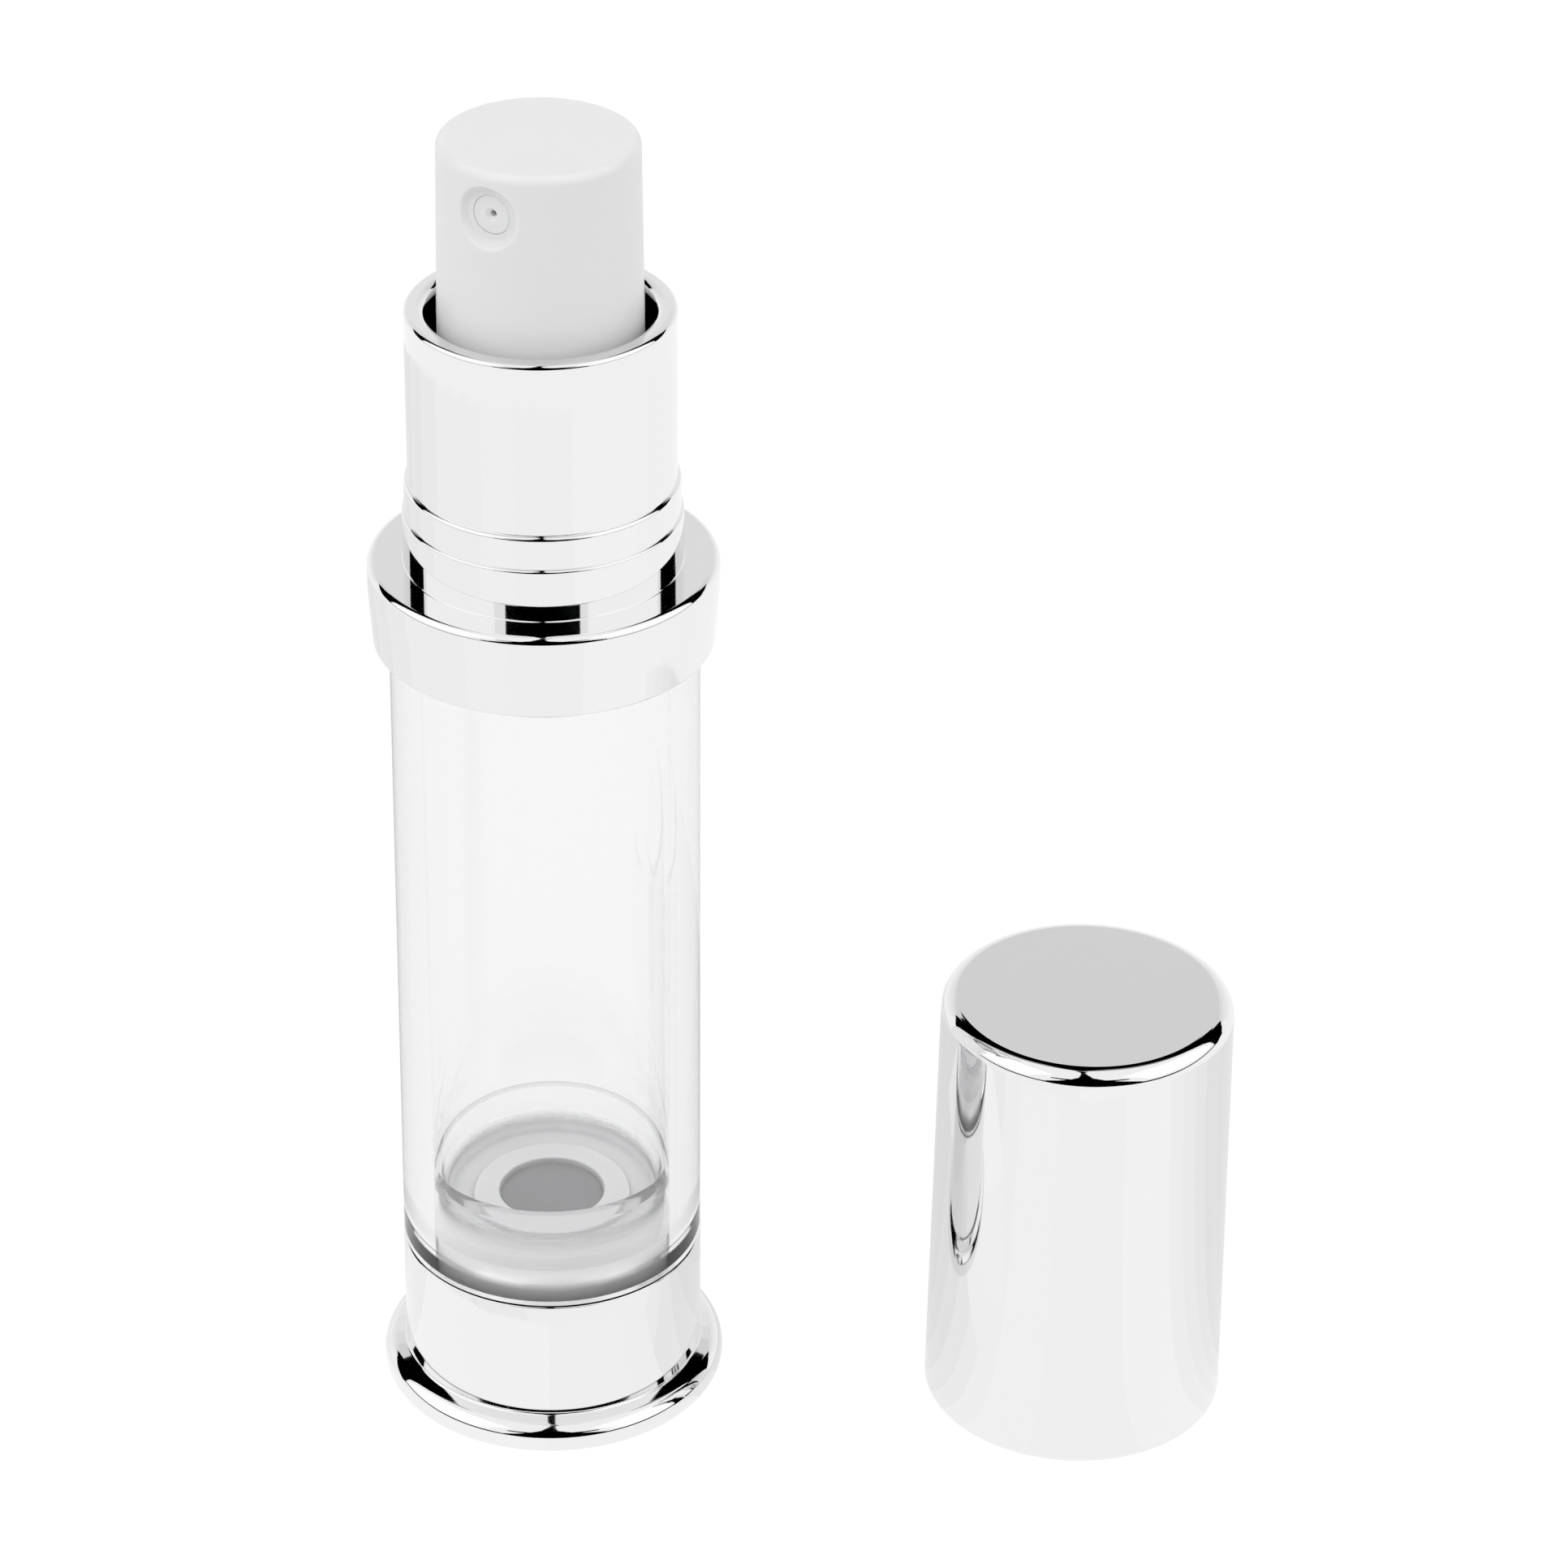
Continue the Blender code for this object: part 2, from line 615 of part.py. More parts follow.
def make_seal():
    """Two-lipped sleeve that the pin drags up and the stem pushes down, after a short free travel."""
    lip = HOUSING_BORE_RADIUS - LIP_GAP
    waist = lip - SEAL_WAIST
    inside = PIN_RADIUS + FIT_GAP
    top = seal_bottom + SEAL_HEIGHT
    corners = [
        (inside, seal_bottom),
        (waist, seal_bottom),
        (lip, seal_bottom + SEAT_GAP),
        (lip, seal_bottom + SEAL_LIP_HEIGHT),
        (waist, seal_bottom + 2 * SEAL_LIP_HEIGHT),
        (waist, top - 2 * SEAL_LIP_HEIGHT),
        (lip, top - SEAL_LIP_HEIGHT),
        (lip, top - SEAT_GAP),
        (waist, top),
        (inside, top),
    ]
    turned("piston_seal", corners, seal_plastic, seal_slide, seal_bottom, HIDDEN_SEGMENTS)


def make_stem_guide():
    """Turned cap, snapped over the top of the housing, that holds the stem in and steers it."""
    inside = housing_radius + SEAT_GAP
    hole = stem_radius + FIT_GAP
    bottom = guide_top - GUIDE_SKIRT_LENGTH
    corners = [
        (inside, bottom),
        (inside + GUIDE_WALL, bottom),
        (inside + GUIDE_WALL, guide_top, SMALL_FILLET),
        (hole, guide_top),
        (hole, guide_plate_bottom),
        (inside, guide_plate_bottom),
    ]
    turned("stem_guide", corners, natural_plastic, head_turn, bottom, HIDDEN_SEGMENTS)


def make_actuator():
    """Push button with a hollow skirt, a socket for the stem and a channel to the nozzle."""
    socket = stem_radius + SEAT_GAP
    post = socket + SOCKET_WALL
    top_radius = ACTUATOR_RADIUS - ACTUATOR_DRAFT
    roof = actuator_top - ACTUATOR_ROOF
    post_bottom = actuator_bottom + TURN_GAP
    corners = [
        (ACTUATOR_RADIUS - ACTUATOR_WALL, actuator_bottom),
        (ACTUATOR_RADIUS, actuator_bottom, SMALL_FILLET),
        (top_radius, actuator_top, ACTUATOR_TOP_FILLET),
        (0, actuator_top),
        (0, stem_top + SEAT_GAP),
        (socket, stem_top + SEAT_GAP),
        (socket, post_bottom),
        (post, post_bottom, SMALL_FILLET),
        (post, roof),
        (top_radius - ACTUATOR_WALL, roof),
    ]
    actuator = turned("actuator", corners, white_plastic, button_turn, actuator_bottom)

    outward = Vector((math.sin(NOZZLE_TURN), -math.cos(NOZZLE_TURN), 0))
    centre = Vector((0, 0, actuator_top - NOZZLE_DROP))
    face = top_radius + ACTUATOR_DRAFT * NOZZLE_DROP / ACTUATOR_HEIGHT
    recess_floor = face - NOZZLE_RECESS_DEPTH
    insert_back = recess_floor - INSERT_LENGTH
    boss_end = face - ACTUATOR_WALL / 2
    boss = rod("nozzle_boss", INSERT_RADIUS + NOZZLE_BOSS_WALL, centre, centre + outward * boss_end)
    combine(actuator, boss, "UNION")
    recess_radius = INSERT_RADIUS + NOZZLE_RECESS_WIDTH
    cuts = (
        ("recess_cutter", recess_radius, recess_floor, 2 * face, HIDDEN_SEGMENTS),
        ("insert_cutter", INSERT_RADIUS + SEAT_GAP, insert_back - SEAT_GAP, face, SMALL_SEGMENTS),
        ("channel_cutter", CHANNEL_RADIUS, 0, face, SMALL_SEGMENTS),
    )
    for name, radius, inner, outer, segments in cuts:
        combine(actuator, rod(name, radius, centre + outward * inner, centre + outward * outer, segments))
    riser = rod("riser_cutter", STEM_BORE_RADIUS, (0, 0, stem_top), centre)
    combine(actuator, riser)

    insert_corners = [
        (SWIRL_RADIUS, 0),
        (INSERT_RADIUS, 0),
        (INSERT_RADIUS, INSERT_LENGTH, SMALL_FILLET / 2),
        (ORIFICE_RADIUS, INSERT_LENGTH),
        (ORIFICE_RADIUS, SWIRL_DEPTH),
        (SWIRL_RADIUS, SWIRL_DEPTH),
    ]
    insert = turned("nozzle_insert", insert_corners, white_plastic, button_turn, 0, SMALL_SEGMENTS)
    insert.location = centre + outward * insert_back - button_turn.matrix_world.translation
    insert.rotation_mode = "QUATERNION"
    insert.rotation_quaternion = outward.to_track_quat("Z", "Y")


def make_cap():
    """Chromed cap, standing on its mouth. Its inside grips the bead of the collar."""
    mouth_inside = bead_radius + CAP_GRIP_GAP
    crown_inside = TUBE_RADIUS + CAP_TUBE_GAP
    ceiling = actuator_top - flange_top + CAP_HEADROOM
    top = ceiling + CAP_TOP_WALL
    corners = [
        (mouth_inside, 0, SMALL_FILLET),
        (mouth_inside + CAP_MOUTH_WALL, 0, SMALL_FILLET),
        (crown_inside + CAP_CROWN_WALL, top, CAP_TOP_FILLET),
        (0, top),
        (0, ceiling),
        (crown_inside, ceiling, SMALL_FILLET),
        (mouth_inside, bead_top - flange_top + TURN_GAP),
    ]
    turned("cap", corners, chrome, cap_lift, 0, centre=(CAP_X, CAP_Y))


make_barrel()
make_base()
make_follower()
make_collar()
make_closure()
make_gasket()
make_housing()
make_inlet_valve()
make_spring()
make_stem()
make_seal()
make_stem_guide()
make_actuator()
make_cap()
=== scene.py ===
"""The looks of a small airless serum dispenser, with its cap standing beside it.

The bottle stands on the axis x = y = 0 and the table is z = 0. Sizes are in metres. Pieces that
catch the light are turned again here with fine facets, to the same sizes as the solids that they
stand for. The rest keep their solids and get their materials here.
"""

import math

import bmesh
import bpy
from mathutils import Matrix, Vector


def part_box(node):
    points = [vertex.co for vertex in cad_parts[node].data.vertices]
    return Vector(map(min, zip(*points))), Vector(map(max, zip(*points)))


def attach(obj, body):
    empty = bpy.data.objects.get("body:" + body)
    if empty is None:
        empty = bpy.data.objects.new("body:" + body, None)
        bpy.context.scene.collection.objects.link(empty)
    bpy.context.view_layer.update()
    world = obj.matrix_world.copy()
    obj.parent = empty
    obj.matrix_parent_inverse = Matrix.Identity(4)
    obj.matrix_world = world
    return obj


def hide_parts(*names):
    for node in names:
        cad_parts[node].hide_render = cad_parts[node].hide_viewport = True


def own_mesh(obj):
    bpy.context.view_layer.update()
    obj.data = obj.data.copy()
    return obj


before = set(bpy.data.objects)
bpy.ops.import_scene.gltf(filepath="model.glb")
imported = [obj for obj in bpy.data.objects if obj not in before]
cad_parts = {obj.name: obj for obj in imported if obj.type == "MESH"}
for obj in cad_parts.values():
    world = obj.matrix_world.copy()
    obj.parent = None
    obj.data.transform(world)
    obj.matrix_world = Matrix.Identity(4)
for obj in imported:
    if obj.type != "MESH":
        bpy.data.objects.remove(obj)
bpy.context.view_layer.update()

# Camera, as fitted to the photograph's outlines
PHOTO_PIXELS = 1932
FOCAL_PIXELS = 6854.87
SENSOR_MM = 36.0
CAMERA_PLACE = (0.015204, -0.307184, 0.226004)
CAMERA_PITCH = 0.5318  # below level, in radians
CAMERA_ROLL = 0.01216
CAMERA_CLIP = 0.01

# Clearances
SEAT_GAP = 0.0001
FIT_GAP = 0.0002
TURN_GAP = 0.0003
LIP_GAP = 0.00006
SMALL_FILLET = 0.0002
EDGE_FILLET = 0.00008  # on edges that are moulded sharp

# Barrel
BARREL_RADIUS = 0.00992
BARREL_DRAFT = 0.0001
BARREL_WALL = 0.00202
BARREL_HEIGHT = 0.0563
SHOULDER_WALL = 0.0013
SHOULDER_STEP = 0.00232
NECK_WALL = 0.0015
NECK_LENGTH = 0.0026
BORE_CONE_HEIGHT = 0.0009
THREAD_PITCH = 0.0016
THREAD_TURNS = 1.05
THREAD_HEIGHT = 0.00024
THREAD_HALF_WIDTH = 0.00036
THREAD_START_RISE = 0.00048  # over the shoulder
THREAD_RUN_OUT = math.radians(25)
NECK_RINGS_START = 0.0001  # over the shoulder
NECK_RINGS_END = 1.2 * SMALL_FILLET  # under the neck's top

# Base
BASE_HEIGHT = 0.0110
BASE_STEP = 0.00003
BASE_WALL = 0.0008
BASE_FLOOR = 0.0012
FOOT_REACH = 0.0015
FOOT_HEIGHT = 0.00233
FOOT_FALL = 0.0004
FOOT_EDGE_FILLET = 0.0011
FOOT_LOW_FILLET = 0.0009
REST_RING_HEIGHT = 0.0130
REST_RING_WALL = 0.0010
VENT_RADIUS = 0.0008
VENT_OFFSET = 0.0042
BASE_BARE_REACH = 0.0006  # beyond the barrel's bore, where the base's film begins

# Follower piston
FOLLOWER_SEAT_GAP = 0.00002  # under its skirt, over the ring in the base
FOLLOWER_HEIGHT = 0.0043
FOLLOWER_RIM = 0.0003
FOLLOWER_WALL = 0.0009
FOLLOWER_WAIST = 0.00025
FOLLOWER_LIP_HEIGHT = 0.0008
FOLLOWER_WEB_HEIGHT = 0.0002
FOLLOWER_WEB = 0.0006
FOLLOWER_WEB_SLOPE = 0.0002
FOLLOWER_RING_OUTER = 0.0052
FOLLOWER_RING_INNER = 0.0035
FOLLOWER_RING_HEIGHT = 0.0004

# Collar
FLANGE_WALL = 0.00095
FLANGE_TAPER = 0.00027
FLANGE_TAPER_DEPTH = 0.00195
FLANGE_FILLET = 0.00045
TUBE_RADIUS = 0.0084
TUBE_WALL = 0.00135
TUBE_LENGTH = 0.01715
TUBE_RIM_FILLET = 0.00026
BEAD_RISE = 0.00345
BEAD_HEIGHT = 0.0022
BEAD_STEP = 0.0004
BEAD_FILLET = 0.0003
BEAD_RELIEF = 0.00016  # how much the bead's face stands back from the neck below it

# Pump housing
HOUSING_BORE_RADIUS = 0.0030
HOUSING_WALL = 0.0011
HOUSING_FLANGE = 0.0005
HOUSING_PLUG_LENGTH = 0.0020
INLET_RADIUS = 0.0009
CAGE_RADIUS = 0.0015
CAGE_DEPTH = 0.001
INLET_LENGTH = 0.0008

# Spring
SPRING_RADIUS = 0.0021
SPRING_WIRE = 0.0004
SPRING_TURNS = 6

# Button and nozzle
ACTUATOR_HEIGHT = 0.0146
ACTUATOR_RADIUS = 0.0064
ACTUATOR_DRAFT = 0.0002
ACTUATOR_TOP_FILLET = 0.00075
ACTUATOR_ROOF = 0.0013
ACTUATOR_WALL = 0.0012
SOCKET_RADIUS = 0.0018
SOCKET_WALL = 0.0011
NOZZLE_DROP = 0.0030
NOZZLE_TURN = math.radians(-28)
NOZZLE_BOSS_WALL = 0.0009
NOZZLE_RECESS_RADIUS = 0.00185
NOZZLE_RECESS_DEPTH = 0.0007
NOZZLE_RECESS_SOFTNESS = 0.0005  # width over which the recess's wall rolls over
NOZZLE_SKIN = 0.0003  # depth of the wall that the recess moves
NOZZLE_SKIN_FALL = 0.0009  # how far that wall may curve back from the nozzle
INSERT_RADIUS = 0.00125
INSERT_LENGTH = 0.0016
INSERT_GAP = 0.00001  # round the insert
CHANNEL_RADIUS = 0.0005  # from the button's middle to the insert
RISER_RADIUS = 0.0007  # from the stem up to that channel
ORIFICE_RADIUS = 0.0002
ORIFICE_CONE = 0.00045
SWIRL_RADIUS = 0.0006
SWIRL_DEPTH = 0.0009

# Cap
CAP_GRIP_GAP = 0.00007
CAP_TUBE_GAP = 0.0002
CAP_MOUTH_WALL = 0.00109
CAP_CROWN_WALL = 0.00095
CAP_TOP_WALL = 0.0012
CAP_TOP_FILLET = 0.0011

# Facets
ROUND_STEPS = 160
SMALL_ROUND_STEPS = 64
ARC_STEP = math.radians(8)
ARC_LENGTH = 0.00025
ARC_LEAST_STEPS = 3
SAME_PLACE = 0.00001  # points closer than this count as one
FILLET_ROOM = 0.95  # share of an outline's shorter side that a fillet may take
SHARP_ANGLE = 32  # in degrees
RECESS_SHARP_ANGLE = 40
NECK_RINGS = 40
SPRING_TURN_STEPS = 36
RECESS_RINGS = 90
RECESS_COLUMNS = 96
RECESS_HALF_ANGLE = math.radians(24)
BUTTON_OTHER_COLUMNS = 84

# Colours, and how deep light gets into the plastics, in metres
CHROME_COLOUR = (0.852, 0.852, 0.855)
BARE_COLOUR = (0.78, 0.78, 0.78)
CLEAR_COLOUR = (0.995, 0.995, 0.996)
CLEAR_DEPTH_COLOUR = (0.90, 0.902, 0.906)
CLEAR_DENSITY = 220  # so that 4 mm of the plastic takes away about a twelfth of the light
WHITE_COLOUR = (0.80, 0.80, 0.80)
WHITE_DEPTH = 0.0006
NATURAL_COLOUR = (0.80, 0.80, 0.785)
SEAL_COLOUR = (0.72, 0.74, 0.77)
NATURAL_DEPTH = 0.0012
DISC_PAINTED_SHADE = (0.275, 0.275, 0.28)  # the follower's middle, within its ring: painted shade of the dark hollow under the thin web
# Painted shade: the web is darker for the shade inside the barrel and the dark hollow under it
WEB_PAINTED_SHADE = (0.68, 0.68, 0.685)
SKIRT_COLOUR = (0.985, 0.986, 0.988)
# Painted shade on the skirt's rim, which tones down the highlight that falls on it
SKIRT_RIM_PAINTED_SHADE = (0.76, 0.76, 0.77)
FOLLOWER_DEPTH = 0.001
FOLLOWER_CLEAR_RISE = 0.0009  # over the web, where the skirt is half clear
FOLLOWER_RIM_DEPTH = 0.00018
RUBBER_COLOURS = (0.62, 0.62, 0.60), (0.74, 0.74, 0.72)
STEEL_COLOUR = (0.62, 0.62, 0.63)

# Sizes that follow from these
barrel_top_radius = BARREL_RADIUS - BARREL_DRAFT
bore_radius = BARREL_RADIUS - BARREL_WALL
neck_radius = barrel_top_radius - SHOULDER_STEP
neck_bore_radius = neck_radius - NECK_WALL
neck_top = BARREL_HEIGHT + NECK_LENGTH
base_radius = BARREL_RADIUS + BASE_STEP
bare_radius = bore_radius + BASE_BARE_REACH
skirt_bore_radius = barrel_top_radius + TURN_GAP
bead_radius = TUBE_RADIUS + BEAD_STEP
housing_radius = HOUSING_BORE_RADIUS + HOUSING_WALL

# Places from the frame
collar_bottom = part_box("collar")[0].z
flange_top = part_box("collar")[1].z - TUBE_LENGTH
closure_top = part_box("closure")[1].z
actuator_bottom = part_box("actuator")[0].z
actuator_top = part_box("actuator")[1].z
stem_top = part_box("stem")[1].z
follower_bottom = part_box("follower_piston")[0].z
cap_low, cap_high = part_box("cap")
cap_middle = (cap_low + cap_high) / 2

# The way the nozzle points, and its places along that way
outward = Vector((math.sin(NOZZLE_TURN), -math.cos(NOZZLE_TURN), 0))
sideways = Vector((math.cos(NOZZLE_TURN), math.sin(NOZZLE_TURN), 0))
nozzle = Vector((0, 0, actuator_top - NOZZLE_DROP))
nozzle_face = ACTUATOR_RADIUS - ACTUATOR_DRAFT + ACTUATOR_DRAFT * NOZZLE_DROP / ACTUATOR_HEIGHT
recess_floor = nozzle_face - NOZZLE_RECESS_DEPTH
insert_back = recess_floor - INSERT_LENGTH


def rounded(corners):
    """The closed outline through corners of (radius, height) or (radius, height, fillet)."""
    points = []
    for index, corner in enumerate(corners):
        here = Vector(corner[:2])
        if len(corner) == 2:
            points.append(here)
            continue
        back = Vector(corners[index - 1][:2]) - here
        ahead = Vector(corners[(index + 1) % len(corners)][:2]) - here
        half = back.angle(ahead) / 2
        room = FILLET_ROOM * min(back.length, ahead.length)
        fillet = min(corner[2], room * math.tan(half))
        centre = here + (back.normalized() + ahead.normalized()).normalized() * fillet / math.sin(half)
        start = (here + back.normalized() * fillet / math.tan(half) - centre).normalized()
        end = (here + ahead.normalized() * fillet / math.tan(half) - centre).normalized()
        turn = start.angle(end)
        steps = max(ARC_LEAST_STEPS, math.ceil(turn / ARC_STEP), math.ceil(fillet * turn / ARC_LENGTH))
        points += [centre + start.slerp(end, step / steps) * fillet for step in range(steps + 1)]
    return points


def even_angles(count):
    return [2 * math.pi * index / count for index in range(count)]


def turned_mesh(name, corners, angles, move=None):
    """A closed solid of revolution. Where move is given, it shifts each point."""
    shape = bmesh.new()
    rings = []
    for point in rounded(corners):
        if point.x < SAME_PLACE:
            rings.append([shape.verts.new((0, 0, point.y))])
            continue
        places = [
            Vector((point.x * math.cos(angle), point.x * math.sin(angle), point.y))
            for angle in angles
        ]
        rings.append([shape.verts.new(move(place) if move else place) for place in places])
    count = len(angles)
    for low, high in zip(rings, rings[1:] + rings[:1]):
        if len(low) == len(high) == 1:
            continue
        for index in range(count):
            after = (index + 1) % count
            face = [low[index % len(low)]]
            if len(low) > 1:
                face.append(low[after])
            if len(high) > 1:
                face.append(high[after])
            face.append(high[index % len(high)])
            shape.faces.new(face)
    bmesh.ops.recalc_face_normals(shape, faces=shape.faces)
    mesh = bpy.data.meshes.new(name)
    shape.to_mesh(mesh)
    shape.free()
    return mesh


def add_piece(name, mesh, place=(0, 0, 0)):
    piece = bpy.data.objects.new(name, mesh)
    piece.location = place
    bpy.context.scene.collection.objects.link(piece)
    return piece


def smooth(piece, sharp=SHARP_ANGLE):
    """Smooth shading that keeps flats flat beside their fillets."""
    piece.data.shade_smooth()
    piece.data.set_sharp_from_angle(angle=math.radians(sharp))
    weighted = piece.modifiers.new("weighted_normals", "WEIGHTED_NORMAL")
    weighted.keep_sharp = True
    return piece


def turned(name, corners, steps=ROUND_STEPS, place=(0, 0, 0)):
    return smooth(add_piece(name, turned_mesh(name, corners, even_angles(steps)), place))


def rod(radius, start, end):
    """A cylinder between two points, to cut with."""
    start, end = Vector(start), Vector(end)
    shape = bmesh.new()
    turn = (end - start).to_track_quat("Z", "Y").to_matrix().to_4x4()
    bmesh.ops.create_cone(
        shape,
        cap_ends=True,
        segments=SMALL_ROUND_STEPS,
        radius1=radius,
        radius2=radius,
        depth=(end - start).length,
        matrix=Matrix.Translation((start + end) / 2) @ turn,
    )
    mesh = bpy.data.meshes.new("cutter")
    shape.to_mesh(mesh)
    shape.free()
    return mesh


def combined(piece, changes):
    """Applies Boolean changes, given as (operation, mesh), and leaves one plain mesh."""
    helpers = []
    for operation, mesh in changes:
        helper = add_piece("helper", mesh)
        helpers.append(helper)
        modifier = piece.modifiers.new(operation, "BOOLEAN")
        modifier.operation = operation
        modifier.solver = "EXACT"
        modifier.object = helper
    graph = bpy.context.evaluated_depsgraph_get()
    result = bpy.data.meshes.new_from_object(piece.evaluated_get(graph))
    piece.modifiers.clear()
    piece.data = result
    for helper in helpers:
        bpy.data.objects.remove(helper)


def belongs(piece, body, slot, material, *nodes):
    """Puts a piece on its body, in place of its solids, with its finish."""
    piece.data.materials.clear()
    piece.data.materials.append(material)
    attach(piece, body)
    if nodes:
        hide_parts(*nodes)


class Finish:
    """A Principled material, with short ways to feed its roughness, bump and colour from noise."""

    def __init__(self, name, **sockets):
        self.material = bpy.data.materials.new(name)
        self.material.use_nodes = True
        self.nodes = self.material.node_tree.nodes
        self.shader = self.nodes["Principled BSDF"]
        self.coordinates = self.nodes.new("ShaderNodeTexCoord")
        self.normal = None
        for key, value in sockets.items():
            socket = self.shader.inputs[key.replace("_", " ").title().replace("Ior", "IOR")]
            socket.default_value = (*value, 1.0) if isinstance(value, tuple) else value

    def link(self, start, end):
        self.material.node_tree.links.new(start, end)

    def noise(self, size, detail, stretch=(1, 1, 1)):
        """Noise whose features are about this size, in metres, or longer along a stretched axis."""
        mapping = self.nodes.new("ShaderNodeMapping")
        mapping.inputs["Scale"].default_value = [1 / part for part in stretch]
        texture = self.nodes.new("ShaderNodeTexNoise")
        texture.inputs["Scale"].default_value = 1 / size
        texture.inputs["Detail"].default_value = detail
        self.link(self.coordinates.outputs["Object"], mapping.inputs["Vector"])
        self.link(mapping.outputs["Vector"], texture.inputs["Vector"])
        return texture.outputs["Fac"]

    def off_axis(self):
        """Distance from the piece's own axis."""
        flat = self.nodes.new("ShaderNodeVectorMath")
        flat.operation = "MULTIPLY"
        flat.inputs[1].default_value = (1, 1, 0)
        length = self.nodes.new("ShaderNodeVectorMath")
        length.operation = "LENGTH"
        self.link(self.coordinates.outputs["Object"], flat.inputs[0])
        self.link(flat.outputs["Vector"], length.inputs[0])
        return length.outputs["Value"]

    def height(self):
        """Height in the piece's own coordinates."""
        parts = self.nodes.new("ShaderNodeSeparateXYZ")
        self.link(self.coordinates.outputs["Object"], parts.inputs["Vector"])
        return parts.outputs["Z"]

    def spread(self, value, low, high, middle=0.5, reach=0.25):
        """Maps the middle part of a noise to a range of values."""
        ranged = self.nodes.new("ShaderNodeMapRange")
        ranged.inputs["From Min"].default_value = middle - reach
        ranged.inputs["From Max"].default_value = middle + reach
        ranged.inputs["To Min"].default_value = low
        ranged.inputs["To Max"].default_value = high
        self.link(value, ranged.inputs["Value"])
        return ranged.outputs["Result"]

    def roughness(self, value, low, high):
        self.link(self.spread(value, low, high), self.shader.inputs["Roughness"])

    def mixed(self, factor, low, high):
        """Mixes two colours, or the outcome of an earlier mix and a colour, by a value from 0 to 1."""
        mix = self.nodes.new("ShaderNodeMix")
        mix.data_type = "RGBA"
        for key, part in (("A", low), ("B", high)):
            if isinstance(part, tuple):
                mix.inputs[key].default_value = (*part, 1.0)
            else:
                self.link(part, mix.inputs[key])
        self.link(factor, mix.inputs["Factor"])
        return mix.outputs["Result"]

    def colour(self, factor, low, high):
        self.link(self.mixed(factor, low, high), self.shader.inputs["Base Color"])

    def mottle(self, noise, colour, paler):
        """A colour that is a little paler in places."""
        pale = tuple(part + paler for part in colour)
        self.colour(self.spread(noise, 0, 1), colour, pale)

    def bump(self, value, height):
        """Adds bump of a height in metres, on top of the bump before it."""
        bump = self.nodes.new("ShaderNodeBump")
        bump.inputs["Strength"].default_value = 1.0
        bump.inputs["Distance"].default_value = height
        self.link(value, bump.inputs["Height"])
        if self.normal:
            self.link(self.normal, bump.inputs["Normal"])
        self.normal = bump.outputs["Normal"]
        self.link(self.normal, self.shader.inputs["Normal"])


def chrome_finish(name, inside=None):
    """Metal film on moulded plastic, with the mould's faint waves. It is bare within a radius inside."""
    finish = Finish(name, base_color=CHROME_COLOUR, metallic=1.0)
    polish = finish.spread(finish.noise(size=0.003, detail=3), low=0.03, high=0.055)
    if inside:
        outside = finish.spread(finish.off_axis(), low=0, high=1, middle=inside, reach=0.0001)
        bare = finish.spread(finish.noise(size=0.002, detail=3), low=0.30, high=0.40)
        mix = finish.nodes.new("ShaderNodeMix")
        finish.link(outside, mix.inputs["Factor"])
        finish.link(bare, mix.inputs["A"])
        finish.link(polish, mix.inputs["B"])
        polish = mix.outputs["Result"]
        metal = finish.spread(outside, low=0.5, high=1, middle=0.5, reach=0.5)
        finish.link(metal, finish.shader.inputs["Metallic"])
        finish.colour(outside, BARE_COLOUR, CHROME_COLOUR)
    finish.link(polish, finish.shader.inputs["Roughness"])
    waves = finish.noise(size=0.006, detail=1)
    ripple = finish.noise(size=0.0009, detail=2)
    finish.bump(waves, height=0.000008)
    finish.bump(ripple, height=0.0000006)
    return finish.material


def clear_finish():
    """Thick clear plastic with faint flow lines along the barrel, which takes up a little light."""
    finish = Finish("clear_barrel_plastic", base_color=CLEAR_COLOUR, transmission_weight=1.0, ior=1.49)
    inside = finish.nodes.new("ShaderNodeVolumeAbsorption")
    inside.inputs["Color"].default_value = (*CLEAR_DEPTH_COLOUR, 1.0)
    inside.inputs["Density"].default_value = CLEAR_DENSITY
    finish.link(inside.outputs["Volume"], finish.nodes["Material Output"].inputs["Volume"])
    finish.roughness(finish.noise(size=0.004, detail=3), low=0.0, high=0.02)
    flow_lines = finish.noise(size=0.002, detail=1, stretch=(1, 1, 12))
    finish.bump(flow_lines, height=0.0000008)
    return finish.material


def white_finish():
    """White moulded plastic with a fine eroded grain."""
    finish = Finish("white_button_plastic", subsurface_weight=0.25, subsurface_scale=WHITE_DEPTH)
    finish.shader.inputs["Subsurface Radius"].default_value = (1.0, 0.9, 0.8)
    finish.mottle(finish.noise(size=0.005, detail=3), WHITE_COLOUR, paler=0.012)
    finish.roughness(finish.noise(size=0.0015, detail=4), low=0.31, high=0.41)
    grain = finish.noise(size=0.00012, detail=2)
    waves = finish.noise(size=0.004, detail=1)
    finish.bump(grain, height=0.000004)
    finish.bump(waves, height=0.00001)
    return finish.material


def milky_finish(name, colour):
    """Natural plastic, which light enters a little."""
    finish = Finish(name, subsurface_weight=0.6, subsurface_scale=NATURAL_DEPTH)
    finish.shader.inputs["Subsurface Radius"].default_value = (1.0, 0.95, 0.9)
    finish.mottle(finish.noise(size=0.003, detail=3), colour, paler=0.02)
    finish.roughness(finish.noise(size=0.001, detail=3), low=0.32, high=0.44)
    finish.bump(finish.noise(size=0.0002, detail=2), height=0.000003)
    return finish.material


